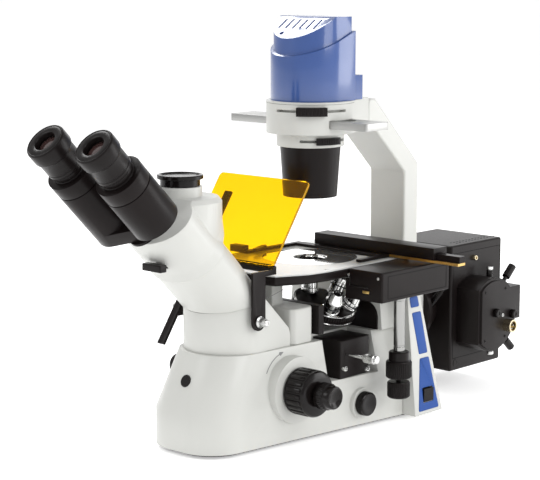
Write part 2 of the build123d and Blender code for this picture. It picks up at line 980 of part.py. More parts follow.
# Mechanical stage: fixed housing, drive tube and two stacked knobs
with BuildPart() as drive_housing:
    with Locations(
        (
            (drive_box_inner + drive_box_outer) / 2,
            (drive_box_front + drive_box_rear) / 2,
            (drive_box_low + drive_box_top) / 2,
        )
    ):
        Box(
            drive_box_outer - drive_box_inner,
            drive_box_rear - drive_box_front,
            drive_box_top - drive_box_low,
        )
    fillet(drive_housing.faces().sort_by(Axis.X)[-1].edges(), drive_box_round)
    with Locations(
        (
            (drive_flange_inner + drive_box_inner) / 2,
            (drive_flange_front + drive_flange_rear) / 2,
            (drive_flange_low + stage_low) / 2,
        )
    ):
        Box(
            drive_box_inner - drive_flange_inner,
            drive_flange_rear - drive_flange_front,
            stage_low - drive_flange_low,
        )
    with Locations(
        (
            (drive_cheek_inner + drive_box_inner) / 2,
            (drive_box_front + drive_cheek_rear) / 2,
            (drive_box_low + stage_low) / 2,
        )
    ):
        Box(
            drive_box_inner - drive_cheek_inner,
            drive_cheek_rear - drive_box_front,
            stage_low - drive_box_low,
        )
save(drive_housing, "drive_housing")

with BuildPart() as drive_tube:
    with BuildSketch(Plane.XY.offset(drive_tube_low)):
        with Locations((drive_x, drive_y)):
            Circle(drive_tube_radius)
            Circle(drive_sleeve_radius + running_fit, mode=Mode.SUBTRACT)
    extrude(amount=drive_box_low - drive_tube_low)
save(drive_tube, "drive_tube")

with BuildPart() as upper_knob:
    with BuildSketch(Plane.XY.offset(upper_knob_low)):
        with Locations((drive_x, drive_y)):
            Circle(upper_knob_radius)
    extrude(amount=upper_knob_top - upper_knob_low)
    chamfer(upper_knob.edges().filter_by(GeomType.CIRCLE), edge_break)
    with BuildSketch(Plane.XY.offset(upper_knob_top)):
        with Locations((drive_x, drive_y)):
            Circle(upper_cap_radius)
    extrude(amount=upper_cap_top - upper_knob_top)
    with BuildSketch(Plane.XY.offset(upper_cap_top)):
        with Locations((drive_x, drive_y)):
            Circle(drive_sleeve_radius)
    extrude(amount=drive_shaft_top - upper_cap_top)
    with BuildSketch(Plane.XY.offset(upper_knob_low)):
        with Locations((drive_x, drive_y)):
            Circle(drive_shaft_radius + running_fit)
    extrude(amount=drive_shaft_top - upper_knob_low, mode=Mode.SUBTRACT)
save(upper_knob, "upper_knob")

with BuildPart() as lower_knob:
    with BuildSketch(Plane.XY.offset(lower_knob_low)):
        with Locations((drive_x, drive_y)):
            Circle(lower_knob_radius)
    extrude(amount=lower_knob_top - lower_knob_low)
    chamfer(lower_knob.edges().filter_by(GeomType.CIRCLE), edge_break)
    with BuildSketch(Plane.XY.offset(lower_knob_top)):
        with Locations((drive_x, drive_y)):
            Circle(drive_shaft_radius)
    extrude(amount=drive_shaft_top - lower_knob_top)
save(lower_knob, "lower_knob")

# Guide bar with its channel and keel, the rack that slides in it and the specimen holder
with BuildPart() as guide_bar:
    with BuildSketch(Plane.YZ.offset(bar_left)):
        with BuildLine():
            Polyline(
                (bar_front, bar_low),
                (channel_front, bar_low),
                (channel_front, channel_top),
                (channel_rear, channel_top),
                (channel_rear, bar_low),
                (bar_rear, bar_low),
                (bar_rear, bar_top),
                (bar_front, bar_top),
                close=True,
            )
        make_face()
    extrude(amount=bar_right - bar_left)
    with Locations(
        (
            (stage_half + drive_box_inner) / 2,
            (keel_front + keel_rear) / 2,
            (keel_low + bar_low) / 2,
        )
    ):
        Box(
            drive_box_inner - stage_half - 2 * slide_gap,
            keel_rear - keel_front,
            bar_low - keel_low,
        )
save(guide_bar, "guide_bar")

with BuildPart() as rack_strip:
    with Locations(
        (
            (strip_left + strip_right) / 2,
            (channel_front + channel_rear) / 2,
            (rack_top + channel_top - slide_gap) / 2,
        )
    ):
        Box(
            strip_right - strip_left,
            channel_rear - channel_front - 2 * slide_gap,
            channel_top - slide_gap - rack_top,
        )
save(rack_strip, "rack_strip")

with BuildPart() as brass_rack:
    with Locations(
        (
            (strip_left + strip_right) / 2,
            (rack_front + channel_rear) / 2,
            (rack_low + rack_top) / 2,
        )
    ):
        Box(strip_right - strip_left, channel_rear - rack_front, rack_top - rack_low)
save(brass_rack, "brass_rack")

with BuildPart() as specimen_holder:
    with BuildSketch(Plane.XY.offset(rack_low)):
        with Locations((0, (rail_front + rack_front) / 2)):
            Rectangle(2 * leg_outer, rack_front - rail_front)
        with Locations((-(leg_inner + leg_outer) / 2, (left_leg_front + rail_front) / 2)):
            Rectangle(leg_outer - leg_inner, rail_front - left_leg_front)
        with Locations(((leg_inner + leg_outer) / 2, (right_leg_front + rail_front) / 2)):
            Rectangle(leg_outer - leg_inner, rail_front - right_leg_front)
    extrude(amount=rack_top - rack_low)
    with Locations(
        (
            (clamp_left - leg_outer) / 2,
            (left_leg_front + clamp_rear) / 2,
            (rack_low + clamp_top) / 2,
        )
    ):
        Box(-leg_outer - clamp_left, clamp_rear - left_leg_front, clamp_top - rack_low)
    with BuildSketch(Plane.XY.offset(rack_low)):
        with Locations((finger_pivot_x, finger_pivot_y)):
            Circle(finger_pin_radius + running_fit)
    extrude(amount=rack_top - rack_low, mode=Mode.SUBTRACT)
save(specimen_holder, "specimen_holder")

with BuildPart() as clamp_finger:
    with BuildSketch(Plane.XY.offset(rack_top + slide_gap)):
        SlotCenterPoint(
            center=((finger_pivot_x + finger_tip_x) / 2, (finger_pivot_y + finger_tip_y) / 2),
            point=(finger_tip_x, finger_tip_y),
            height=2 * finger_half,
        )
    extrude(amount=finger_thickness)
    with BuildSketch(Plane.XY.offset(rack_low + slide_gap)):
        with Locations((finger_pivot_x, finger_pivot_y)):
            Circle(finger_pin_radius)
    extrude(amount=rack_top - rack_low)
save(clamp_finger, "clamp_finger")

# Nosepiece: carriage on the focus block, leaning turret and objectives
with BuildPart() as nosepiece_carriage:
    with Locations((0, (carriage_front + carriage_back) / 2, (carriage_low + carriage_top) / 2)):
        Box(2 * carriage_half, carriage_back - carriage_front, carriage_top - carriage_low)
    with BuildSketch(turret_plane.offset(-turret_thickness - slide_gap)):
        Circle(carriage_pad_radius)
        with Locations((-turret_x / 2, carriage_back / 2)):
            Rectangle(carriage_arm, -carriage_back)
    extrude(amount=-carriage_pad_thickness)
    with BuildSketch(turret_plane.offset(-turret_thickness - slide_gap - carriage_pad_thickness)):
        Circle(turret_pin_radius + running_fit)
    extrude(amount=carriage_pad_thickness, mode=Mode.SUBTRACT)
    with BuildSketch(Plane.XY.offset(carriage_low)):
        Circle(light_path_radius)
    extrude(amount=carriage_top - carriage_low, mode=Mode.SUBTRACT)
save(nosepiece_carriage, "nosepiece_carriage")

with BuildPart() as turret:
    with BuildSketch(turret_plane.offset(-turret_thickness)):
        Circle(turret_radius)
    extrude(amount=turret_thickness)
    chamfer(turret.edges().filter_by(GeomType.CIRCLE), turret_chamfer)
    with BuildSketch(turret_plane.offset(-turret_thickness)):
        Circle(turret_pin_radius)
    extrude(amount=-carriage_pad_thickness)
save(turret, "turret")


def seat_plane(index):
    """Plane of one turret seat, its normal along that seat's objective."""
    angle = radians(180 + index * 360 / seat_count)
    outward = turret_plane.x_dir * cos(angle) + turret_plane.y_dir * sin(angle)
    along = turret_axis * cos(radians(turret_lean)) + outward * sin(radians(turret_lean))
    foot = turret_plane.origin + outward * seat_circle
    return Plane(origin=foot, x_dir=turret_plane.y_dir, z_dir=along)


with BuildPart() as objectives:
    for seat, length in objective_lengths.items():
        with BuildSketch(seat_plane(seat).offset(-objective_thread)):
            Circle(objective_body_radius)
        extrude(amount=objective_thread + length - objective_taper)
        with BuildSketch(seat_plane(seat).offset(length - objective_taper)):
            Circle(objective_body_radius)
        with BuildSketch(seat_plane(seat).offset(length)):
            Circle(objective_nose_radius)
        loft(ruled=True)
    with BuildSketch(turret_plane):
        Circle(turret_radius)
    extrude(amount=-turret_thickness, mode=Mode.SUBTRACT)
save(objectives, "objectives")

# Illumination arm, lamp carrier, phase slider and levers
with BuildPart() as illumination_arm:
    with BuildSketch(Plane.YZ.offset(-arm_half)):
        with BuildLine():
            Polyline(
                (arm_front, stage_low),
                (arm_rear, stage_low),
                (arm_rear, arm_bend_rear_z),
                (arm_crown_y, arm_joint_top),
                (arm_joint_y, arm_joint_top),
                (arm_joint_y, arm_joint_low),
                (arm_joint_y + arm_joint_step, arm_joint_low),
                (arm_front, arm_bend_front_z),
                close=True,
            )
        make_face()
    extrude(amount=2 * arm_half)
    fillet(illumination_arm.faces().filter_by(Axis.X).edges(), arm_round)
save(illumination_arm, "illumination_arm")

with BuildPart() as lamp_carrier:
    with BuildSketch(Plane.XY.offset(carrier_low)):
        Circle(carrier_radius)
        with BuildLine():
            Polyline(
                (carrier_radius - edge_break, carrier_taper_y),
                (arm_half, arm_joint_y),
                (-arm_half, arm_joint_y),
                (-carrier_radius + edge_break, carrier_taper_y),
                close=True,
            )
        make_face()
    extrude(amount=carrier_top - carrier_low)
    with Locations((0, 0, (phase_low + phase_top) / 2)):
        Box(
            4 * carrier_radius,
            2 * (phase_half + slide_gap),
            phase_top - phase_low + 2 * slide_gap,
            mode=Mode.SUBTRACT,
        )
    lever_groove((field_low + field_top) / 2, field_inner, carrier_radius, field_azimuth)
    with BuildSketch(Plane.XY.offset(carrier_low)):
        Circle(lamp_bore_radius)
    extrude(amount=carrier_top - carrier_low, mode=Mode.SUBTRACT)
save(lamp_carrier, "lamp_carrier")

save(
    lever(field_low, field_top, field_inner, carrier_radius, field_outer, field_azimuth, field_arc),
    "field_lever",
)

with BuildPart() as phase_slider:
    with BuildSketch(Plane.XY.offset(phase_low)):
        with Locations(((phase_left + phase_right) / 2, 0)):
            RectangleRounded(phase_right - phase_left, 2 * phase_half, phase_corner)
        with GridLocations(phase_window_pitch, 1, phase_windows, 1):
            Circle(phase_window_radius, mode=Mode.SUBTRACT)
    extrude(amount=phase_top - phase_low)
save(phase_slider, "phase_slider")

# Condenser below the carrier
with BuildPart() as condenser_collar:
    with BuildSketch(Plane.XY.offset(collar_low)):
        Circle(collar_radius)
    extrude(amount=carrier_low - collar_low)
    lever_groove((aperture_low + aperture_top) / 2, aperture_inner, collar_radius, aperture_azimuth)
    with BuildSketch(Plane.XY.offset(collar_low)):
        Circle(lamp_bore_radius)
    extrude(amount=carrier_low - collar_low, mode=Mode.SUBTRACT)
save(condenser_collar, "condenser_collar")

save(
    lever(
        aperture_low,
        aperture_top,
        aperture_inner,
        collar_radius,
        aperture_outer,
        aperture_azimuth,
        aperture_arc,
    ),
    "aperture_lever",
)

with BuildPart() as condenser_barrel:
    with BuildSketch(Plane.XY.offset(condenser_low)):
        Circle(condenser_low_radius)
    with BuildSketch(Plane.XY.offset(collar_low)):
        Circle(condenser_top_radius)
    loft(ruled=True)
    with BuildSketch(Plane.XY.offset(condenser_low)):
        Circle(condenser_lens_radius)
    extrude(amount=condenser_lens_thickness + condenser_lens_inset, mode=Mode.SUBTRACT)
    with BuildSketch(Plane.XY.offset(condenser_low)):
        Circle(lamp_bore_radius)
    extrude(amount=collar_low - condenser_low, mode=Mode.SUBTRACT)
save(condenser_barrel, "condenser_barrel")

with BuildPart() as condenser_lens:
    with BuildSketch(Plane.XY.offset(condenser_low + condenser_lens_inset)):
        Circle(condenser_lens_radius)
    extrude(amount=condenser_lens_thickness)
save(condenser_lens, "condenser_lens")

# Lamp cover: a stepped hood with a slanted slotted crown
with BuildPart() as lamp_cover:
    extrude(d_plan(carrier_top, cover_radius, cover_back), amount=cover_ledge_back_z - carrier_top)
    with BuildSketch(Plane.YZ.offset(-cover_radius)):
        with BuildLine():
            Polyline(
                (-cover_radius, carrier_top),
                (cover_back, carrier_top),
                (cover_back, cover_ledge_back_z),
                (-cover_radius, cover_ledge_front_z),
                close=True,
            )
        make_face()
    extrude(amount=2 * cover_radius, mode=Mode.INTERSECT)
    with BuildPart(mode=Mode.PRIVATE) as crown:
        extrude(d_plan(carrier_top, crown_radius, crown_back), amount=cover_top - carrier_top)
        with BuildSketch(Plane.YZ.offset(-crown_radius)):
            with BuildLine():
                Polyline(
                    (-crown_radius, carrier_top),
                    (crown_back, carrier_top),
                    (crown_back, cover_top),
                    (crown_flat_y, cover_top),
                    (-crown_radius, crown_front_z),
                    close=True,
                )
            make_face()
        extrude(amount=2 * crown_radius, mode=Mode.INTERSECT)
    add(crown.part)
    with BuildSketch(
        Plane(
            origin=(0, (crown_flat_y - crown_radius) / 2, (cover_top + crown_front_z) / 2),
            x_dir=(1, 0, 0),
            z_dir=(0, crown_front_z - cover_top, crown_flat_y + crown_radius),
        )
    ):
        with Locations((0, crown_slot_shift)):
            with GridLocations(crown_slot_pitch, 1, crown_slots, 1):
                SlotOverall(crown_slot_length, crown_slot_width, rotation=90)
        with Locations((crown_hole_x, crown_hole_shift)):
            Circle(crown_hole_radius)
    extrude(amount=-crown_slot_depth, mode=Mode.SUBTRACT)
    with Locations((0, (cover_back + cover_box_back) / 2, (carrier_top + cover_box_top) / 2)):
        Box(2 * cover_box_half, cover_box_back - cover_back, cover_box_top - carrier_top)
save(lamp_cover, "lamp_cover")

# Trinocular head: an oblique round neck under a vertical drum, cut square to the tilted tubes
with BuildPart() as trinocular_head:
    with BuildSketch(Plane.XY.offset(seam_front_z - neck_run_in)):
        with Locations((0, tower_centre_y + neck_run_in)):
            Circle(tower_half)
    extrude(amount=(head_top + neck_run_out - seam_front_z + neck_run_in) * 2**0.5, dir=(0, -1, 1))
    split(bisect_by=seam_plane, keep=Keep.TOP)
    split(
        bisect_by=Plane(
            origin=(0, seam_rear_y, seam_rear_z),
            z_dir=(0, head_low - seam_rear_z, seam_rear_y - head_port_y - head_port_radius),
        ),
        keep=Keep.BOTTOM,
    )
    with BuildSketch(Plane.XY.offset(head_low)):
        with Locations((0, head_port_y)):
            Circle(head_port_radius)
    extrude(amount=head_top - head_shoulder - head_low)
    with BuildSketch(Plane.XY.offset(head_top - head_shoulder)):
        with Locations((0, head_port_y)):
            Circle(head_port_radius)
    extrude(amount=head_shoulder, taper=head_shoulder_lean)
    split(bisect_by=tube_plane, keep=Keep.BOTTOM)
    split(bisect_by=Plane.XY.offset(head_top), keep=Keep.BOTTOM)
    with BuildSketch(Plane.XY.offset(head_low)):
        with Locations((0, head_port_y)):
            Circle(collar_port_radius)
    extrude(amount=collar_port_top - head_low)
    with BuildSketch(Plane.XY.offset(collar_port_top)):
        with Locations((0, head_port_y)):
            Circle(cap_plug_radius + running_fit)
    extrude(amount=-cap_plug_depth - slide_gap, mode=Mode.SUBTRACT)
    with BuildSketch(tube_plane):
        Circle(hinge_pin_radius)
    extrude(amount=-hinge_pin_depth, mode=Mode.SUBTRACT)
    with Locations((selector_x - selector_travel / 2, selector_y, selector_z)):
        Box(
            selector_stem_length + selector_travel + 2 * slide_gap,
            2 * selector_stem_depth,
            selector_stem_height + 2 * slide_gap,
            mode=Mode.SUBTRACT,
        )
save(trinocular_head, "trinocular_head")

cap_neck_top = collar_port_top + cap_neck_height
cap_flange_top = cap_neck_top + cap_flange_height
with BuildPart() as port_cap:
    with BuildSketch(Plane.XY.offset(collar_port_top + slide_gap)):
        with Locations((0, head_port_y)):
            Circle(cap_neck_radius)
    extrude(amount=cap_neck_top - collar_port_top - slide_gap)
    with BuildSketch(Plane.XY.offset(cap_neck_top)):
        with Locations((0, head_port_y)):
            Circle(cap_flange_radius)
    extrude(amount=cap_flange_top - cap_neck_top)
    chamfer(port_cap.faces().sort_by(Axis.Z)[-1].edges(), edge_break)
    with BuildSketch(Plane.XY.offset(cap_flange_top)):
        with Locations((0, head_port_y)):
            Circle(cap_neck_radius)
    extrude(amount=-cap_dish_depth, mode=Mode.SUBTRACT)
    with BuildSketch(Plane.XY.offset(collar_port_top + slide_gap)):
        with Locations((0, head_port_y)):
            Circle(cap_plug_radius)
    extrude(amount=-cap_plug_depth)
save(port_cap, "port_cap")

with BuildPart() as beam_selector:
    with Locations((selector_x, selector_y, selector_z)):
        Box(selector_stem_length, 2 * selector_stem_depth - 2 * slide_gap, selector_stem_height)
    grip_y = selector_y - selector_stem_depth - selector_depth / 2 + selector_overlap
    with Locations((selector_x, grip_y, selector_z)):
        Box(selector_length, selector_depth, selector_height)
    fillet(beam_selector.edges().group_by(Axis.Y)[0], selector_round)
save(beam_selector, "beam_selector")

# Binocular: hinge pin with its disc, then the two prism tubes that swing about it
with BuildPart() as hinge_pin:
    with BuildSketch(tube_plane):
        Circle(hinge_disc_radius)
    extrude(amount=hinge_disc_thickness)
    with BuildSketch(tube_plane.offset(-hinge_pin_depth)):
        Circle(hinge_pin_radius)
    extrude(amount=hinge_pin_depth + right_arm_low + arm_thickness)
save(hinge_pin, "hinge_pin")


def prism_tube(side, arm_low, hub_radius):
    """One prism tube: an arm from the hinge to a round tube with a socket for its eyepiece."""
    with BuildPart() as tube:
        with BuildSketch(tube_plane.offset(arm_low)):
            with BuildSketch(Plane.XY, mode=Mode.PRIVATE) as outline:
                Circle(hub_radius)
                with Locations((side * tube_offset, 0)):
                    Circle(tube_radius)
                make_hull()
            add(outline.sketch)
        extrude(amount=arm_thickness)
        with BuildSketch(tube_plane.offset(arm_low)):
            with Locations((side * tube_offset, 0)):
                Circle(tube_radius)
        extrude(amount=tube_top - arm_low)
        with BuildSketch(tube_plane.offset(tube_ring_low)):
            with Locations((side * tube_offset, 0)):
                Circle(tube_radius + ring_groove)
                Circle(tube_radius - ring_groove, mode=Mode.SUBTRACT)
        extrude(amount=1.5 * ring_groove, mode=Mode.SUBTRACT)
        with BuildSketch(tube_plane.offset(arm_low)):
            Circle(hinge_pin_radius + running_fit)
        extrude(amount=arm_thickness, mode=Mode.SUBTRACT)
        with BuildSketch(tube_plane.offset(tube_top)):
            with Locations((side * tube_offset, 0)):
                Circle(eyepiece_radius + running_fit)
        extrude(amount=eyepiece_seat - tube_top - slide_gap, mode=Mode.SUBTRACT)
    return tube


def eyepiece(side):
    """One eyepiece: barrel, body and eyecup with a seat for its lens."""
    with BuildPart() as ocular:
        for low, top, radius in (
            (eyepiece_seat, eyepiece_body_low, eyepiece_radius),
            (eyepiece_body_low, eyecup_low, eyepiece_body_radius),
            (eyecup_low, eyecup_top, eyecup_radius),
        ):
            with BuildSketch(tube_plane.offset(low)):
                with Locations((side * tube_offset, 0)):
                    Circle(radius)
            extrude(amount=top - low)
        with BuildSketch(tube_plane.offset(eyecup_top)):
            with Locations((side * tube_offset, 0)):
                Circle(eyecup_bore)
        extrude(amount=eyecup_floor - eyecup_top, mode=Mode.SUBTRACT)
        with BuildSketch(tube_plane.offset(eyecup_floor)):
            with Locations((side * tube_offset, 0)):
                Circle(eye_lens_radius)
        extrude(amount=-eye_lens_thickness, mode=Mode.SUBTRACT)
    return ocular


def eye_lens(side):
    """The eye lens in its seat."""
    with BuildPart() as lens:
        with BuildSketch(tube_plane.offset(eyecup_floor - eye_lens_thickness)):
            with Locations((side * tube_offset, 0)):
                Circle(eye_lens_radius)
        extrude(amount=eye_lens_thickness)
    return lens


for side, word, arm_level, hub in (
    (-1, "left", left_arm_low, left_hub_radius),
    (1, "right", right_arm_low, right_hub_radius),
):
    save(prism_tube(side, arm_level, hub), f"prism_tube_{word}")
    save(eyepiece(side), f"eyepiece_{word}")
    save(eye_lens(side), f"eye_lens_{word}")

# Amber shield, its holder and the two clamp screws it tilts on
with BuildPart() as amber_shield:
    with BuildSketch(shield_plane):
        with Locations(((shield_left + shield_right) / 2, 0)):
            RectangleRounded(shield_right - shield_left, shield_height, shield_corner)
    extrude(amount=shield_thickness)
save(amber_shield, "amber_shield")

strap_outer_x = strap_inner_x + strap_thickness
cross_strip_top = cross_strip_overlap - shield_height / 2
strip_crest = shield_plane.from_local_coords((0, cross_strip_top, -bar_strip_thickness))
strip_heel = shield_plane.from_local_coords((0, cross_strip_top - cross_strip_height, 0))
bar_inner_x = bar_strip_x + bar_strip_width / 2
with BuildPart() as shield_holder:
    with BuildSketch(shield_plane):
        with Locations((bar_strip_x, (bar_strip_top + bar_strip_low) / 2)):
            Rectangle(bar_strip_width, bar_strip_top - bar_strip_low)
        with Locations(((bar_strip_x + strap_outer_x) / 2, cross_strip_top - cross_strip_height / 2)):
            Rectangle(strap_outer_x - bar_strip_x, cross_strip_height)
    extrude(amount=-bar_strip_thickness)
    with BuildSketch(Plane.YZ.offset(strap_inner_x)):
        with Locations((pivot_y, pivot_z)):
            Circle(strap_eye_radius)
        with BuildLine():
            Polyline(
                (pivot_y - strap_eye_radius, pivot_z),
                (pivot_y + strap_eye_radius, pivot_z),
                (pivot_y + strap_eye_radius, strap_tongue_low),
                (strip_crest.Y, strap_tongue_low),
                (strip_crest.Y, strip_crest.Z),
                (strip_heel.Y, shield_foot_z - cross_strip_overlap),
                (pivot_y - strap_eye_radius, shield_foot_z - cross_strip_overlap),
                close=True,
            )
        make_face()
    extrude(amount=strap_thickness)
    with BuildSketch(Plane.YZ.offset(bar_strip_x - bar_strip_width / 2)):
        with Locations((pivot_y, pivot_z)):
            Circle(lug_radius)
        with BuildLine():
            Polyline(
                (pivot_y, pivot_z + lug_radius),
                (pivot_y - lug_reach, pivot_z + lug_radius),
                (pivot_y - lug_reach - lug_radius, pivot_z - lug_radius),
                (pivot_y, pivot_z - lug_radius),
                close=True,
            )
        make_face()
    extrude(amount=bar_strip_width)
    with BuildSketch(Plane.YZ.offset(-2 * tower_half)):
        with Locations((pivot_y, pivot_z)):
            Circle(screw_shank_radius + running_fit)
    extrude(amount=4 * tower_half, mode=Mode.SUBTRACT)
save(shield_holder, "shield_holder")

with BuildPart() as clamp_screws:
    for side, inner_x, outer_x in (
        (1, strap_inner_x, strap_outer_x),
        (-1, -bar_inner_x, bar_strip_width - bar_inner_x),
    ):
        with BuildSketch(Plane.YZ.offset(side * (tower_half - screw_depth))):
            with Locations((pivot_y, pivot_z)):
                Circle(screw_shank_radius)
        extrude(amount=side * (outer_x + slide_gap - tower_half + screw_depth))
        with BuildSketch(Plane.YZ.offset(side * tower_half)):
            with Locations((pivot_y, pivot_z)):
                Circle(screw_shoulder_radius)
        extrude(amount=side * (inner_x - slide_gap - tower_half))
        with BuildSketch(Plane.YZ.offset(side * (outer_x + slide_gap))):
            with Locations((pivot_y, pivot_z)):
                Circle(screw_head_radius)
        extrude(amount=side * screw_head_length)
save(clamp_screws, "clamp_screws")

# Fluorescence lamp house on its collector tube, with the end housing and its adjusters
with BuildPart() as collector_tube:
    with BuildSketch(Plane.XZ.offset(-housing_rear)):
        with Locations((0, lamp_axis_z)):
            Circle(collector_flange_radius)
    extrude(amount=-collector_flange_thickness)
    with BuildSketch(Plane.XZ.offset(-housing_rear)):
        with Locations((0, lamp_axis_z)):
            Circle(collector_radius)
    extrude(amount=housing_rear - lamp_front)
save(collector_tube, "collector_tube")

with BuildPart() as lamp_house:
    with Locations((0, (lamp_front + lamp_rear) / 2, (lamp_low + lamp_top) / 2)):
        Box(2 * lamp_half, lamp_rear - lamp_front, lamp_top - lamp_low)
    fillet(lamp_house.edges(), lamp_round)
save(lamp_house, "lamp_house")

with BuildPart() as end_housing:
    with BuildSketch(Plane.YZ.offset(end_start)):
        with Locations((end_y, end_z)):
            Circle(end_radius)
        with Locations((end_flat_y - end_radius, end_z)):
            Rectangle(2 * end_radius, 2 * end_radius, mode=Mode.SUBTRACT)
    extrude(amount=end_face - end_start)
    with BuildSketch(Plane.YZ.offset(end_face)):
        with Locations((end_y, end_z)):
            Circle(end_plate_radius)
        with Locations((end_flat_y + end_plate_inset - end_radius, end_z)):
            Rectangle(2 * end_radius, 2 * end_radius, mode=Mode.SUBTRACT)
    extrude(amount=end_plate_thickness)
    with Locations(
        (
            (end_box_inner + end_box_outer) / 2,
            (end_y + end_box_rear) / 2,
            (end_box_low + end_box_top) / 2,
        )
    ):
        Box(end_box_outer - end_box_inner, end_box_rear - end_y, end_box_top - end_box_low)
    for angle in adjuster_angles:
        outward = Vector(0, cos(radians(angle)), sin(radians(angle)))
        with BuildSketch(
            Plane(
                origin=Vector(adjuster_x, end_y, end_z) + outward * (adjuster_seat - slide_gap),
                x_dir=(1, 0, 0),
                z_dir=outward,
            )
        ):
            Circle(adjuster_stem_radius + running_fit)
        extrude(amount=end_radius, mode=Mode.SUBTRACT)
save(end_housing, "end_housing")

with BuildPart() as lamp_connector:
    with BuildSketch(Plane.YZ.offset(end_face + end_plate_thickness)):
        with Locations((connector_y, connector_z)):
            Circle(connector_radius)
            Circle(connector_radius - connector_wall, mode=Mode.SUBTRACT)
    extrude(amount=connector_length)
    with BuildSketch(Plane.YZ.offset(end_face + end_plate_thickness)):
        with Locations((connector_y, connector_z)):
            Circle(connector_radius)
    extrude(amount=connector_wall)
save(lamp_connector, "lamp_connector")

for angle, word in zip(adjuster_angles, ("upper", "lower")):
    outward = Vector(0, cos(radians(angle)), sin(radians(angle)))
    adjuster_plane = Plane(origin=(adjuster_x, end_y, end_z), x_dir=(1, 0, 0), z_dir=outward)
    with BuildPart() as adjuster:
        with BuildSketch(adjuster_plane.offset(adjuster_seat)):
            Circle(adjuster_stem_radius)
        extrude(amount=adjuster_knob_start - adjuster_seat)
        with BuildSketch(adjuster_plane.offset(adjuster_knob_start)):
            Circle(adjuster_knob_radius)
        extrude(amount=adjuster_knob_end - adjuster_knob_start)
    save(adjuster, f"lamp_adjuster_{word}")
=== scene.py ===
import json
import math

import bmesh
import bpy
from mathutils import Matrix, Vector
from mathutils.bvhtree import BVHTree


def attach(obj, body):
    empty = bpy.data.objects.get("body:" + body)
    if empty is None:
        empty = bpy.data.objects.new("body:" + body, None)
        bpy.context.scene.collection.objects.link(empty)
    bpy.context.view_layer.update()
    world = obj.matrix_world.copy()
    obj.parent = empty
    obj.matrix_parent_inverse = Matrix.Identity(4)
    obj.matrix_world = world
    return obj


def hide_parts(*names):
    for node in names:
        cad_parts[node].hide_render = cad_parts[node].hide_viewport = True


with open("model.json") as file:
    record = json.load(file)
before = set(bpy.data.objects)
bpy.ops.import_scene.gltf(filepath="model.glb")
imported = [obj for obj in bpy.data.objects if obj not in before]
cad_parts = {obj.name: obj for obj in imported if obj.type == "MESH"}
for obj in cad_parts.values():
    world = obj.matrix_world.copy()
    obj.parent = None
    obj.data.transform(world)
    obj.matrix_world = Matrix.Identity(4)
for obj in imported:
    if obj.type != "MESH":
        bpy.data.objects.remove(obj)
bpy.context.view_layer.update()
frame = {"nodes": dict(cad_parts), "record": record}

# Inverted microscope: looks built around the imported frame. Lengths below are in millimetres.
MM = 0.001
scene = bpy.context.scene

X_WAY, Y_WAY, Z_WAY = (1, 0, 0), (0, 1, 0), (0, 0, 1)
HEAD_LEAN = Vector((0, -1, 1)).normalized()  # along the neck and the eyepiece tubes
UNIT = Matrix.Identity(4)
WELD = 1e-6  # metres between corners that count as one
CRISP, PLAIN, SOFT = 30.0, 35.0, 50.0  # degrees from which an edge is shaded sharp


# Materials

BROAD_SCALE, BROAD_DETAIL, BROAD_ROUGH = 14.0, 4.0, 0.55
FINE_DETAIL, FINE_ROUGH = 3.0, 0.6
POLISH_DRIFT = 0.12  # share by which the roughness drifts
BUMP_DEPTH = 0.0004  # metres
COAT_ROUGH = 0.12
EDGE_SAMPLES = 4
MIX_FIRST, MIX_SECOND, MIX_RESULT = 6, 7, 2  # colour sockets of a Mix node
DRAWN_X, DRAWN_Z = (0.05, 1, 1), (1, 1, 0.05)  # grain drawn out along one axis


def node(tree, kind, **values):
    """Add a node and set its input sockets by name."""
    made = tree.nodes.new(kind)
    for name, value in values.items():
        made.inputs[name.replace("_", " ")].default_value = value
    return made


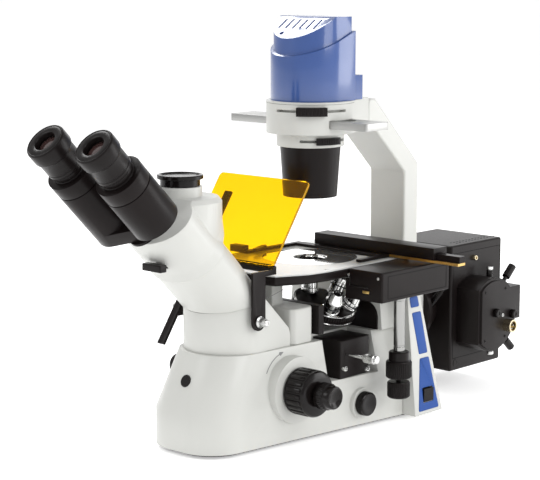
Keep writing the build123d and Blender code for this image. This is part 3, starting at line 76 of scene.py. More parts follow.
def surface(name, color, rough, metallic=0.0, grain=900.0, bump=0.06, shade=0.12, coat=0.0,
            transmission=0.0, ior=1.45, stretch=(1, 1, 1), edge=0.0, specular=0.5):
    """A procedural surface: a broad noise moves the tone, a fine one the roughness and the normal."""
    made = bpy.data.materials.new(name)
    made.use_nodes = True
    tree = made.node_tree
    link = tree.links.new
    tree.nodes.clear()
    out = tree.nodes.new("ShaderNodeOutputMaterial")
    shader = tree.nodes.new("ShaderNodeBsdfPrincipled")
    link(shader.outputs["BSDF"], out.inputs["Surface"])
    coords = tree.nodes.new("ShaderNodeTexCoord")
    squeeze = node(tree, "ShaderNodeMapping", Scale=stretch)
    link(coords.outputs["Object"], squeeze.inputs["Vector"])
    broad = node(tree, "ShaderNodeTexNoise", Scale=BROAD_SCALE, Detail=BROAD_DETAIL,
                 Roughness=BROAD_ROUGH)
    link(squeeze.outputs["Vector"], broad.inputs["Vector"])
    fine = node(tree, "ShaderNodeTexNoise", Scale=grain, Detail=FINE_DETAIL, Roughness=FINE_ROUGH)
    link(squeeze.outputs["Vector"], fine.inputs["Vector"])
    tone = node(tree, "ShaderNodeMapRange", From_Min=0.3, From_Max=0.7,
                To_Min=1.0 - shade, To_Max=1.0 + shade * 0.5)
    link(broad.outputs["Fac"], tone.inputs["Value"])
    paint = node(tree, "ShaderNodeMix")
    paint.data_type = "RGBA"
    paint.blend_type = "MULTIPLY"
    paint.inputs["Factor"].default_value = 1.0
    paint.inputs[MIX_FIRST].default_value = (*color, 1.0)
    grey = tree.nodes.new("ShaderNodeCombineColor")
    for channel in ("Red", "Green", "Blue"):
        link(tone.outputs["Result"], grey.inputs[channel])
    link(grey.outputs["Color"], paint.inputs[MIX_SECOND])
    link(paint.outputs[MIX_RESULT], shader.inputs["Base Color"])
    polish = node(tree, "ShaderNodeMapRange", From_Min=0.25, From_Max=0.75,
                  To_Min=max(rough * (1 - POLISH_DRIFT), 0.01),
                  To_Max=min(rough * (1 + POLISH_DRIFT), 1.0))
    link(fine.outputs["Fac"], polish.inputs["Value"])
    link(polish.outputs["Result"], shader.inputs["Roughness"])
    lift = node(tree, "ShaderNodeBump", Strength=bump, Distance=BUMP_DEPTH)
    link(fine.outputs["Fac"], lift.inputs["Height"])
    if edge > 0:
        soft = node(tree, "ShaderNodeBevel", Radius=edge * MM)
        soft.samples = EDGE_SAMPLES
        link(soft.outputs["Normal"], lift.inputs["Normal"])
    link(lift.outputs["Normal"], shader.inputs["Normal"])
    shader.inputs["Metallic"].default_value = metallic
    shader.inputs["Coat Weight"].default_value = coat
    shader.inputs["Coat Roughness"].default_value = COAT_ROUGH
    shader.inputs["Transmission Weight"].default_value = transmission
    shader.inputs["IOR"].default_value = ior
    shader.inputs["Specular IOR Level"].default_value = specular
    return made


white = surface("white_enamel", (0.57, 0.573, 0.545), 0.40, grain=700, bump=0.05, shade=0.03,
                coat=0.10, edge=1.2)
blue = surface("blue_enamel", (0.030, 0.078, 0.27), 0.30, grain=800, bump=0.05, shade=0.06,
               coat=0.9, edge=1.0)
inlay = surface("blue_inlay", (0.022, 0.080, 0.32), 0.45, grain=900, bump=0.06, shade=0.08,
                edge=0.6, specular=0.25)
black = surface("satin_black", (0.0095, 0.0068, 0.0066), 0.32, grain=1500, bump=0.08, shade=0.25,
                edge=0.6, specular=0.16)
crackle = surface("grained_black", (0.0095, 0.0068, 0.0066), 0.40, grain=900, bump=0.30, shade=0.25,
                  edge=0.8, specular=0.24)
plastic = surface("moulded_black", (0.0085, 0.0064, 0.0062), 0.30, grain=2200, bump=0.08, shade=0.25,
                  edge=0.5, specular=0.20)
gloss = surface("glossy_black", (0.0075, 0.0058, 0.0056), 0.20, grain=1200, bump=0.02, shade=0.25,
                coat=0.06, edge=0.4, specular=0.22)
rubber = surface("rubber_black", (0.010, 0.010, 0.010), 0.62, grain=1800, bump=0.25, shade=0.3,
                 specular=0.25)
pale = surface("pale_stage_enamel", (0.56, 0.57, 0.56), 0.20, grain=1200, bump=0.03, shade=0.05,
               coat=0.3)
mirror = surface("lapped_insert", (0.88, 0.88, 0.87), 0.07, metallic=0.95, grain=1300, bump=0.015,
                 shade=0.06)
chrome = surface("chrome_plate", (0.74, 0.74, 0.73), 0.14, metallic=1.0, grain=1400, bump=0.02,
                 shade=0.1, edge=0.3)
steel = surface("turned_steel", (0.62, 0.62, 0.61), 0.28, metallic=1.0, grain=500, bump=0.05,
                shade=0.1, stretch=DRAWN_X, edge=0.3)
drawn = surface("drawn_tube", (0.36, 0.36, 0.35), 0.20, metallic=1.0, grain=300, bump=0.05,
                shade=0.35, stretch=DRAWN_Z, edge=0.3)
milled = surface("milled_slider", (0.40, 0.40, 0.39), 0.36, metallic=1.0, grain=400, bump=0.06,
                 shade=0.12, stretch=DRAWN_X, edge=0.3)
gold = surface("pale_gold", (0.74, 0.64, 0.44), 0.18, metallic=1.0, grain=700, bump=0.03,
               shade=0.12, edge=0.3)
brass = surface("drawn_brass", (0.62, 0.42, 0.15), 0.30, metallic=1.0, grain=500, bump=0.05,
                shade=0.15, stretch=DRAWN_X, edge=0.3)
amber = surface("amber_sheet", (0.99, 0.53, 0.002), 0.05, grain=60, bump=0.01, shade=0.04,
                transmission=0.95, ior=1.2)
# Glass: the dark red-brown base colour is a painted reflection, the tinted gleam of the coated
# lenses; the clear coat on it gives the real gloss.
lens = surface("coated_lens_painted_reflection", (0.085, 0.045, 0.042), 0.03, grain=90, bump=0.01, shade=0.3,
               transmission=0.25, coat=1.0)
dark = surface("dark_gap", (0.006, 0.006, 0.006), 0.8, grain=900, bump=0.1, shade=0.3, specular=0.1)
crease = surface("seam_shadow", (0.16, 0.16, 0.155), 0.7, grain=900, bump=0.05, shade=0.15,
                 specular=0.1)
grey_mark = surface("grey_mark", (0.22, 0.22, 0.22), 0.55, grain=900, bump=0.05, shade=0.1)
band_paint = surface("objective_band", (0.030, 0.032, 0.036), 0.4, grain=900, bump=0.05, shade=0.2)

slot_materials = {
    "white_paint": white, "blue_cover": blue, "black_metal": black, "black_plastic": plastic,
    "pale_stage": pale, "chrome": chrome, "steel": steel, "brass": brass, "rubber": rubber,
    "amber": amber, "glass": lens,
}
node_slot = {entry["node"]: entry["material_slot"] for entry in frame["record"]["subparts"]}
# The floor plate under the base is given grained black so that it draws the dark line along the foot
# of the base: painted shade.
special = {"lamp_house": crackle, "end_housing": crackle, "filter_box": crackle,
           "floor_plate": crackle, "arch_liner": crackle, "stage_insert": mirror,
           "lamp_connector": gold}
for name, obj in frame["nodes"].items():
    obj.data.materials.clear()
    obj.data.materials.append(special.get(name, slot_materials[node_slot[name]]))

bodies = frame["record"]["behaviour"]["bodies"]
body_of_node = {member: body for body, members in bodies.items() for member in members}


# Pieces

def keep(name, mesh, material, body, stands_for=(), smooth=PLAIN):
    """Place one finished mesh as a piece that rides a body."""
    mesh.name = name
    mesh.materials.clear()
    mesh.materials.append(material)
    for poly in mesh.polygons:
        poly.use_smooth = True
    mesh.set_sharp_from_angle(angle=math.radians(smooth))
    obj = bpy.data.objects.new(name, mesh)
    scene.collection.objects.link(obj)
    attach(obj, body)
    if stands_for:
        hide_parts(*stands_for)


def place(origin, axis, x_dir=None):
    """Matrix from a local frame in millimetres, Z along the axis, to the part's frame in metres."""
    z = Vector(axis).normalized()
    x = Vector(x_dir) if x_dir is not None else z.orthogonal()
    x = (x - z * x.dot(z)).normalized()
    y = z.cross(x)
    turn = Matrix((x, y, z)).transposed().to_4x4()
    return Matrix.Translation(Vector(origin) * MM) @ turn @ Matrix.Scale(MM, 4)


def mesh_from(bm, name):
    """Turn a finished bmesh into a mesh and free it."""
    mesh = bpy.data.meshes.new(name)
    bm.to_mesh(mesh)
    bm.free()
    return mesh


def lathe_mesh(profile, where, segments):
    """Turn a (radius, height) profile about the local Z. A radius of 0 closes it on the axis."""
    bm = bmesh.new()
    rings = []
    for radius, height in profile:
        if radius == 0:
            rings.append([bm.verts.new((0, 0, height))])
            continue
        ring = []
        for i in range(segments):
            a = 2 * math.pi * i / segments
            ring.append(bm.verts.new((radius * math.cos(a), radius * math.sin(a), height)))
        rings.append(ring)
    pairs = list(zip(rings, rings[1:]))
    if len(rings[0]) > 1 and len(rings[-1]) > 1:
        pairs.append((rings[-1], rings[0]))
    for low, high in pairs:
        for i in range(segments):
            j = (i + 1) % segments
            corners = [low[i % len(low)], low[j % len(low)],
                       high[j % len(high)], high[i % len(high)]]
            corners = list(dict.fromkeys(corners))
            if len(corners) > 2:
                bm.faces.new(corners)
    bmesh.ops.recalc_face_normals(bm, faces=bm.faces)
    bm.transform(where)
    return mesh_from(bm, "lathe")


def block_mesh(size, bevel=0.0, centre=(0, 0, 0), where=None):
    """A box with rounded edges."""
    bm = bmesh.new()
    shape = Matrix.Translation(centre) @ Matrix.Diagonal((*size, 1))
    bmesh.ops.create_cube(bm, size=1.0, matrix=shape)
    if bevel > 0:
        bmesh.ops.bevel(bm, geom=bm.edges[:], offset=bevel, segments=2, affect="EDGES", profile=0.5)
    bm.transform(where if where is not None else Matrix.Scale(MM, 4))
    return mesh_from(bm, "block")


def strip_mesh(pairs, facing=None):
    """A strip of faces between pairs of points, turned to one side where that is asked for."""
    bm = bmesh.new()
    rows = [(bm.verts.new(first), bm.verts.new(second)) for first, second in pairs]
    for low, high in zip(rows, rows[1:]):
        bm.faces.new((low[0], high[0], high[1], low[1]))
    bm.normal_update()
    if facing is not None and sum(f.normal.dot(facing) for f in bm.faces) < 0:
        bmesh.ops.reverse_faces(bm, faces=bm.faces)
    return mesh_from(bm, "strip")


def join_meshes(meshes):
    """Several meshes as one."""
    bm = bmesh.new()
    for mesh in meshes:
        bm.from_mesh(mesh)
        bpy.data.meshes.remove(mesh)
    return mesh_from(bm, "joined")


def baked(holder):
    """The mesh that an object's modifiers give. The object is removed."""
    bpy.context.view_layer.update()
    graph = bpy.context.evaluated_depsgraph_get()
    made = bpy.data.meshes.new_from_object(holder.evaluated_get(graph))
    holder.modifiers.clear()
    bpy.data.objects.remove(holder)
    return made


FLAT_ANGLE, ROUND_ANGLE, ROUND_SEGMENTS = 0.5, 40.0, 3


def rounded_copy(node_name, width, material):
    """A visual copy of one CAD node with rounded edges, standing for it."""
    mesh = frame["nodes"][node_name].data.copy()
    bm = bmesh.new()
    bm.from_mesh(mesh)
    bmesh.ops.remove_doubles(bm, verts=bm.verts, dist=WELD)
    bmesh.ops.dissolve_limit(bm, angle_limit=math.radians(FLAT_ANGLE), verts=bm.verts, edges=bm.edges)
    bm.to_mesh(mesh)
    bm.free()
    holder = bpy.data.objects.new(node_name + "_holder", mesh)
    scene.collection.objects.link(holder)
    rounding = holder.modifiers.new("round", "BEVEL")
    rounding.width = width * MM
    rounding.segments = ROUND_SEGMENTS
    rounding.limit_method = "ANGLE"
    rounding.angle_limit = math.radians(ROUND_ANGLE)
    rounding.use_clamp_overlap = True
    made = baked(holder)
    old_normals = made.attributes.get("custom_normal")
    if old_normals is not None:
        made.attributes.remove(old_normals)
    keep(node_name + "_skin", made, material, body_of_node[node_name],
         (node_name,))


# Geometry Nodes: one group repeats a shape round an axis, the other repeats it along a line

def repeat_group(name, round_axis):
    group = bpy.data.node_groups.new(name, "GeometryNodeTree")
    face = group.interface
    face.new_socket("Shape", in_out="INPUT", socket_type="NodeSocketGeometry")
    face.new_socket("Count", in_out="INPUT", socket_type="NodeSocketInt")
    face.new_socket("Step", in_out="INPUT", socket_type="NodeSocketVector")
    face.new_socket("Finish", in_out="INPUT", socket_type="NodeSocketMaterial")
    face.new_socket("Result", in_out="OUTPUT", socket_type="NodeSocketGeometry")
    link = group.links.new
    enter = group.nodes.new("NodeGroupInput")
    leave = group.nodes.new("NodeGroupOutput")
    line = group.nodes.new("GeometryNodeMeshLine")
    line.inputs["Offset"].default_value = (0, 0, 0)
    link(enter.outputs["Count"], line.inputs["Count"])
    number = group.nodes.new("GeometryNodeInputIndex")
    scaled = group.nodes.new("ShaderNodeVectorMath")
    scaled.operation = "SCALE"
    link(enter.outputs["Step"], scaled.inputs[0])
    link(number.outputs["Index"], scaled.inputs["Scale"])
    put = group.nodes.new("GeometryNodeInstanceOnPoints")
    link(enter.outputs["Shape"], put.inputs["Instance"])
    if round_axis:
        link(line.outputs["Mesh"], put.inputs["Points"])
        turn = group.nodes.new("FunctionNodeEulerToRotation")
        link(scaled.outputs["Vector"], turn.inputs["Euler"])
        link(turn.outputs["Rotation"], put.inputs["Rotation"])
    else:
        shift = group.nodes.new("GeometryNodeSetPosition")
        link(line.outputs["Mesh"], shift.inputs["Geometry"])
        link(scaled.outputs["Vector"], shift.inputs["Position"])
        link(shift.outputs["Geometry"], put.inputs["Points"])
    real = group.nodes.new("GeometryNodeRealizeInstances")
    link(put.outputs["Instances"], real.inputs["Geometry"])
    coat = group.nodes.new("GeometryNodeSetMaterial")
    link(real.outputs["Geometry"], coat.inputs["Geometry"])
    link(enter.outputs["Finish"], coat.inputs["Material"])
    link(coat.outputs["Geometry"], leave.inputs["Result"])
    return group


ring_group = repeat_group("repeat_round", True)
row_group = repeat_group("repeat_row", False)


def repeated(group, shape, count, step, material, where):
    """Bake one repeat of a small shape, then move it to its place."""
    holder = bpy.data.objects.new("repeat_holder", shape)
    scene.collection.objects.link(holder)
    live = holder.modifiers.new("repeat", "NODES")
    live.node_group = group
    sockets = group.interface.items_tree
    keys = {item.name: item.identifier for item in sockets if item.in_out == "INPUT"}
    live[keys["Count"]] = count
    live[keys["Step"]] = step
    live[keys["Finish"]] = material
    holder.update_tag()
    made = baked(holder)
    made.transform(where)
    return made


def ring_of(shape, count, material, where):
    return repeated(ring_group, shape, count, (0.0, 0.0, 2 * math.pi / count), material, where)


def row_of(shape, count, step, material, where):
    return repeated(row_group, shape, count, step, material, where)


def ribs(material, where, radius, low, high, count, depth, fill=0.55):
    """Straight ribs round a turned piece."""
    wide = 2 * math.pi * radius / count * fill
    rib = block_mesh((2 * depth, wide, high - low), wide * 0.3,
                     (radius - depth, 0, (low + high) / 2), UNIT)
    return ring_of(rib, count, material, where)


def turned(name, profile, where, segments, material, body, stands_for=(), smooth=CRISP):
    """A turned piece."""
    keep(name, lathe_mesh(profile, where, segments), material, body, stands_for, smooth)


def gripped(name, profile, where, segments, grip, material, body, stands_for=()):
    """A turned piece with ribs round it. The grip holds what ribs asks for, from the radius on."""
    core = lathe_mesh(profile, where, segments)
    both = join_meshes([core, ribs(material, where, *grip)])
    keep(name, both, material, body, stands_for, CRISP)


# Castings: CAD copies with rounded edges, and the width of the rounding
for node_name, width, finish in (
        ("base_casting", 3.0, white), ("front_tower", 2.0, white), ("focus_block", 2.0, white),
        ("rear_housing", 2.5, white), ("trinocular_head", 3.5, white),
        ("illumination_arm", 5.0, white), ("lamp_carrier", 1.8, white), ("lamp_cover", 2.5, blue),
        ("stage_casting", 1.0, black), ("drive_housing", 1.2, black), ("guide_bar", 0.8, black),
        ("lamp_house", 1.5, crackle), ("end_housing", 2.2, crackle),
        ("prism_tube_left", 1.6, black), ("prism_tube_right", 1.6, black),
        ("shield_holder", 0.5, black), ("specimen_holder", 0.6, black),
        ("filter_box", 1.2, crackle), ("blue_inlays", 0.8, inlay), ("phase_slider", 0.6, milled),
        ("beam_selector", 0.8, plastic)):
    rounded_copy(node_name, width, finish)

# Eyepieces in the tilted tubes
TUBE_ORIGIN, TUBE_OFFSET = Vector((0, -262.7, 250.7)), 37
ocular = [
    (19, 62), (19, 99.6), (18.3, 100.2), (18.3, 102.2), (19, 102.8), (19, 106.2), (19.8, 107),
    (20.5, 107.8), (20.5, 110.5), (20.0, 111), (20.0, 112), (20.5, 112.5), (20.5, 127.6),
    (21.3, 129), (22.2, 129.8), (22.5, 131.2), (22.5, 142.6), (22.1, 144.4), (21.0, 145.5),
    (20.2, 145.5), (19.8, 145.1), (19.2, 145.4), (13.2, 145.5), (12.2, 145.0), (11.7, 143.8),
    (11.5, 140.2), (12, 139.4), (12, 134), (2, 134), (2, 62),
]
eye_glass = [(0, 139.6), (4, 139.45), (8, 138.95), (11, 138.2), (12, 137.6), (12, 134), (0, 134)]
for side, word in ((-1, "left"), (1, "right")):
    where = place(TUBE_ORIGIN + Vector((TUBE_OFFSET * side, 0, 0)), HEAD_LEAN, X_WAY)
    turned(f"ocular_{word}", ocular, where, 128, plastic, f"ocular_{word}",
           (f"eyepiece_{word}",))
    turned(f"eye_glass_{word}", eye_glass, where, 96, lens, f"ocular_{word}",
           (f"eye_lens_{word}",), SOFT)

# Focus knobs, on both sides of the base. The right ones stand for both.
FOCUS_AXIS = (0, -97, 62.5)
coarse = [(9, 69.6), (24.6, 69.6), (26.2, 71), (26.2, 72.6), (25.3, 73), (25.3, 94), (26.0, 94.6),
          (26.0, 96.4), (24.6, 98.6), (21.0, 100), (9, 100)]
fine = [(5, 103), (13.6, 103), (14.2, 103.8), (14.2, 115.2), (13.6, 116), (13.2, 116.6),
        (13.0, 122.2), (12.2, 123.7), (11.0, 124), (9.8, 123.6), (8.0, 122.6), (5.0, 121.8),
        (0, 121.5)]
for side, word in ((1, "right"), (-1, "left")):
    where = place(FOCUS_AXIS, (side, 0, 0), Y_WAY)
    gripped(f"coarse_grip_{word}", coarse, where, 128, (26.5, 73.4, 93.8, 22, 1.3, 0.66), gloss,
            "coarse", ("coarse_knobs",) if side > 0 else ())
    gripped(f"fine_grip_{word}", fine, where, 96, (15.0, 103.9, 115.1, 36, 1.0), gloss,
            "fine", ("fine_knobs",) if side > 0 else ())

# Brightness knob
brightness = [(3, 67.4), (3, 79.4), (13.4, 79.4), (13.4, 86.6), (13.9, 87), (13.7, 88.4),
              (12.6, 89.3), (10.4, 89.4), (8.0, 88.7), (0, 88.3)]
gripped("brightness_grip", brightness, place((0, 3, 31), X_WAY, Y_WAY), 96,
        (14.0, 79.8, 86.4, 36, 0.8), gloss, "bright", ("brightness_knob",))

# Stacked stage drive knobs and their tube
where = place((106, 35, 0), Z_WAY, X_WAY)
upper_drive = [(3.05, 60), (13.6, 60), (14.4, 61), (14.4, 79), (13.8, 80), (11.8, 80.4), (11.8, 90),
               (10.8, 91), (5, 91), (5, 140), (3.05, 140)]
lower_drive = [(0, 36.7), (11.4, 36.7), (12.6, 37.9), (12.6, 54.6), (12.0, 55.6), (3, 55.6),
               (3, 140), (0, 140)]
drive_tube = [(5.05, 91.5), (6.5, 91.5), (6.5, 96), (6.1, 96.4), (6.1, 98), (6.5, 98.4), (6.5, 150),
              (7.4, 151), (7.4, 158), (5.05, 158)]
gripped("upper_drive_grip", upper_drive, where, 96, (15.0, 61.2, 78.8, 40, 0.9), plastic,
        "knob_y", ("upper_knob",))
gripped("lower_drive_grip", lower_drive, where, 96, (13.2, 38.2, 54.4, 36, 0.8), plastic,
        "knob_x", ("lower_knob",))
turned("drive_tube_skin", drive_tube, where, 72, drawn, "stand", ("drive_tube",))

# Turret and objectives. The first objective stands for all of them.
TURRET_SPOT, TURRET_LEAN = Vector((24, 0, 143)), math.radians(20)
SEAT_COUNT, SEAT_RADIUS, TAPER = 5, 25.5, 12
BAND_HEIGHT = 1.6
turret_axis = Vector((math.sin(TURRET_LEAN), 0, math.cos(TURRET_LEAN)))
radial = Vector((math.cos(TURRET_LEAN), 0, -math.sin(TURRET_LEAN)))
across = turret_axis.cross(radial)
where = place(TURRET_SPOT, turret_axis, radial)
turret = [(0, -19), (6, -19), (6, -12), (34, -12), (36.6, -10.6), (37.0, -9.5), (37.0, -2.5),
          (35.5, -0.6), (33, 0), (0, 0)]
gripped("turret_skin", turret, where, 144, (38.0, -9.2, -2.8, 72, 1.0), black,
        "turret_body", ("turret",))
for number, (low, high) in enumerate(((-11.6, -10.2), (-2.0, -0.6))):
    ring = [(35.0, low), (37.6, low), (38.0, low + 0.4), (38.0, high - 0.4), (37.6, high),
            (35.0, high)]
    turned(f"turret_ring_{number}", ring, where, 144, chrome, "turret_body")
for seat, length in ((0, 36.0), (2, 31.0), (3, 24.0), (4, 34.0)):
    angle = math.pi + seat * 2 * math.pi / SEAT_COUNT
    outward = radial * math.cos(angle) + across * math.sin(angle)
    along = turret_axis * math.cos(TURRET_LEAN) + outward * math.sin(TURRET_LEAN)
    where = place(TURRET_SPOT + outward * SEAT_RADIUS, along, across)
    neck = length - TAPER
    collar, band = neck * 0.75, neck * 0.55
    objective = [(0, -1), (10.0, -1), (10.4, 0.6), (10.4, 5), (9.6, 5.6), (9.6, collar),
                 (10.2, collar + 0.5), (10.2, neck), (9.0, neck + 1.2), (6.6, length - 3),
                 (5.6, length - 0.8), (5.2, length), (3.4, length), (3.0, length - 1.2),
                 (0, length - 1.2)]
    gripped(f"objective_skin_{seat}", objective, where, 72, (10.4, 1.2, 4.6, 40, 0.5), chrome,
            "turret_body", ("objectives",) if seat == 0 else ())
    ring = [(9.5, band), (9.85, band), (9.85, band + BAND_HEIGHT), (9.5, band + BAND_HEIGHT)]
    turned(f"objective_band_{seat}", ring, where, 72, band_paint, "turret_body", (), PLAIN)

# Port cap with a dished glossy top
port_cap = [(0, 286.4), (14.4, 286.4), (15, 287), (15, 296.4), (21.2, 296.4), (21.5, 296.8),
            (21.5, 303.5), (24.4, 303.9), (25, 304.5), (25, 307.7), (24.2, 308.5), (22.4, 308.5),
            (21.6, 307.9), (20.6, 306.9), (12, 306.6), (0, 306.5)]
turned("port_cap_skin", port_cap, place((0, -210, 0), Z_WAY, X_WAY), 128, gloss, "cap",
       ("port_cap",))

# Filter slider: a stem and a knurled grip
filter_slider = [(0, 42), (2.2, 42), (2.2, 97), (4.4, 97), (5.1, 97.8), (5.1, 112), (4.3, 112.6),
                 (4.3, 113.4), (4.9, 114), (4.4, 115.6), (3.2, 116), (0, 116)]
gripped("filter_slider_skin", filter_slider, place((0, -16, 90), X_WAY, Y_WAY), 48,
        (5.5, 98, 111.8, 26, 0.5), chrome, "filter", ("filter_slider",))

# Clamp screws at the foot of the shield strap. The right one stands for both.
for word, side, inner, outer, stands in (("right", 1, 53.1, 56.9, ("clamp_screws",)),
                                         ("left", -1, 52.6, 63.4, ())):
    clamp_screw = [(0, 40), (3, 40), (3, 50), (5, 50), (5, inner), (3, inner), (3, outer),
                   (6.3, outer), (6.5, outer + 0.3), (6.5, outer + 1.4), (5.0, outer + 2),
                   (4.2, outer + 3), (4.2, outer + 10), (3.8, outer + 11.6), (3.2, outer + 12),
                   (2, outer + 12), (1.8, outer + 11.4), (0, outer + 11.2)]
    gripped(f"clamp_screw_{word}", clamp_screw, place((0, -146.5, 145.5), (side, 0, 0), Y_WAY), 64,
            (4.7, outer + 3.2, outer + 9.8, 24, 0.5), steel, "stand", stands)


# Small screws, marks and seams

def screw(name, spot, axis, radius, height, material=chrome):
    """A round-headed screw with a socket in its head."""
    head = [(0, -0.8), (radius, -0.8), (radius, height * 0.7), (radius * 0.82, height),
            (radius * 0.5, height), (radius * 0.44, height * 0.45), (0, height * 0.4)]
    turned(name, head, place(spot, axis), 36, material, "stand")


def panel_seam(name, x, ys, zs, over=0.0):
    """The dark outline of a panel on the right side. Its upright lines are longer by over."""
    (y_low, y_high), (z_low, z_high) = ys, zs
    long, tall = y_high - y_low, z_high - z_low
    lines = [block_mesh((0.3, long, 0.5), 0, (x, (y_low + y_high) / 2, z)) for z in zs]
    lines += [block_mesh((0.3, 0.5, tall + over), 0, (x, y, (z_low + z_high) / 2)) for y in ys]
    keep(name, join_meshes(lines), dark, "stand")


screw("filter_screw_front", (70, -21, 74.5), X_WAY, 3.4, 4.5)
screw("filter_screw_rear", (70, 18, 68), X_WAY, 3.4, 4.5)
screw("lamp_screw", (52, 249, 167), X_WAY, 3.4, 5.0, gold)
screw("drive_screw_left", (82, -27, 185.5), (0, -1, 0), 1.6, 0.9, steel)
screw("drive_screw_right", (125, -27, 185.5), (0, -1, 0), 1.6, 0.9, steel)
for number, (y, z) in enumerate(((226, 130), (268, 130), (226, 69), (268, 69))):
    screw(f"end_screw_{number}", (89, y, z), X_WAY, 1.7, 0.7, gloss)
for number, (x, y) in enumerate(((-70, -52), (70, -52), (-70, 92), (70, 92))):
    screw(f"stage_screw_{number}", (x, y, 193), Z_WAY, 1.7, 0.25, steel)

# Stage drive box: a bent spring lever, a brass stop and a panel seam
spring = join_meshes([block_mesh((1.8, 1.2, 12), 0.4, (84.5, -27.4, 179.5)),
                      block_mesh((28, 1.2, 1.8), 0.4, (97.5, -27.4, 173.5))])
keep("drive_spring", spring, gloss, "stand")
stop = block_mesh((9.4, 1.8, 3.2), 0.5, (108, -27.6, 168.4))
keep("drive_stop", stop, brass, "stand")
panel_seam("drive_panel_seam", 131.02, (-17, 89), (162, 187.4))

# Teeth of the brass rack, where it stands clear of the specimen holder
TOOTH_COUNT, TOOTH_PITCH = 66, 1.5
tooth = block_mesh((0.75, 0.5, 2.4), 0, (0, 0, 0), UNIT)
teeth = row_of(tooth, TOOTH_COUNT, (TOOTH_PITCH, 0, 0), brass,
               place((71, 58.85, 195.1), Z_WAY, X_WAY))
keep("rack_teeth", teeth, brass, "stage_x")

# Ribs on the grips of the two diaphragm levers, and the seam round the lamp carrier
LEVER_STEP = math.radians(4.0)
for word, azimuth, count, radius, level, height in (("field", -47, 7, 57.5, 366, 8.0),
                                                    ("aperture", -17, 9, 43.0, 331, 6.0)):
    start = math.radians(azimuth) - LEVER_STEP * (count - 1) / 2
    rib = block_mesh((1.2, 1.7, height), 0.3, (radius, 0, level), UNIT)
    where = place((0, 0, 0), Z_WAY, (math.cos(start), math.sin(start), 0))
    lever_ribs = repeated(ring_group, rib, count, (0.0, 0.0, LEVER_STEP), plastic, where)
    keep(f"{word}_lever_ribs", lever_ribs, plastic, word)
carrier_seam = [(50.7, 373.4), (51.08, 373.4), (51.08, 373.8), (50.7, 373.8)]
turned("carrier_seam", carrier_seam, place((0, 0, 0), Z_WAY, X_WAY), 144, crease, "stand",
       (), PLAIN)

# Two rows of vent holes along the top of the lamp house
VENT_COUNT, VENT_PITCH, VENT_LEVEL = 13, 6.4, 185.9
vent = [(0, 0), (1.4, 0), (1.4, 0.25), (0, 0.25)]
for name, x, y in (("lamp_house_vents", 34, 226), ("lamp_house_vents_outer", 41, 229)):
    vents = row_of(lathe_mesh(vent, UNIT, 14), VENT_COUNT, (0, VENT_PITCH, 0), dark,
                   place((x, y, VENT_LEVEL), Z_WAY, X_WAY))
    keep(name, vents, dark, "stand")

# End housing: two silver-tipped knobs, two black knobs and a pin by the connector
stud = [(0, -14), (4.0, -14), (4.0, 2), (3.4, 2.6), (0, 2.6)]
stud_tip = [(0, 2.6), (3.4, 2.6), (3.4, 3), (4.2, 3.4), (4.2, 6.2), (3.6, 7), (0, 7)]
for word, spot, way in (("top", (68, 262, 149), (0, 0.05, 1)),
                        ("bottom", (68, 266, 50), (0, 0.05, -1))):
    where = place(spot, way)
    turned(f"end_stud_{word}", stud, where, 36, gloss, "stand")
    turned(f"end_stud_tip_{word}", stud_tip, where, 36, chrome, "stand")
knob = [(0, -1), (5.2, -1), (5.2, 5.4), (4.4, 6.4), (2.2, 6.4), (1.8, 5.6), (0, 5.4)]
for word, spot in (("inner", (89, 246, 102)), ("outer", (89, 281, 96))):
    gripped(f"end_knob_{word}", knob, place(spot, X_WAY), 48, (5.5, 0.4, 5.0, 22, 0.5), gloss,
            "stand")
screw("end_pin", (89, 253, 99), X_WAY, 2.4, 7.0)

# Side of the lamp house: the seam of a panel and a plug
panel_seam("lamp_side_seam", 52.02, (209, 305), (44, 176), 0.5)
plug = [(0, -0.6), (4.4, -0.6), (4.4, 0.3), (3.9, 0.5), (3.6, 0.2), (0, 0.2)]
turned("lamp_side_plug", plug, place((52, 215, 38), X_WAY), 40, plastic, "stand")

# Lever on the collector tube
LEVER_FOOT, LEVER_WAY, LEVER_LENGTH = Vector((36, 190, 118)), Vector((16, 0, 19)), 22
lever = [(0, -6), (4.2, -6), (4.2, 18), (3.4, 19.4), (3.4, LEVER_LENGTH), (0, LEVER_LENGTH)]
turned("collector_lever", lever, place(LEVER_FOOT, LEVER_WAY), 40, gloss, "stand")
screw("collector_lever_tip", LEVER_FOOT + LEVER_WAY.normalized() * LEVER_LENGTH, LEVER_WAY, 2.4, 2.4)

# Contact pins of the lamp connector
PIN_COUNT, PIN_RADIUS = 4, 3.4
pin = lathe_mesh([(0, 0), (0.9, 0), (0.9, 6), (0.5, 6.8), (0, 7)],
                 Matrix.Translation((PIN_RADIUS, 0, 0)), 12)
pins = ring_of(pin, PIN_COUNT, chrome, place((91, 270, 83), X_WAY, Y_WAY))
keep("connector_pins", pins, chrome, "stand")

# Plain badge disc on the nose of the base, with nothing on it
badge = [(0, -1.4), (7, -1.4), (7, 0.6), (6.7, 0.9), (6.1, 0.9), (5.9, 0.7), (0, 0.7)]
badge_normal = Vector((0, -63, 30)).normalized()
turned("nose_badge", badge, place((0, -203.6, 80.5), badge_normal), 64, gloss, "stand",
       (), PLAIN)

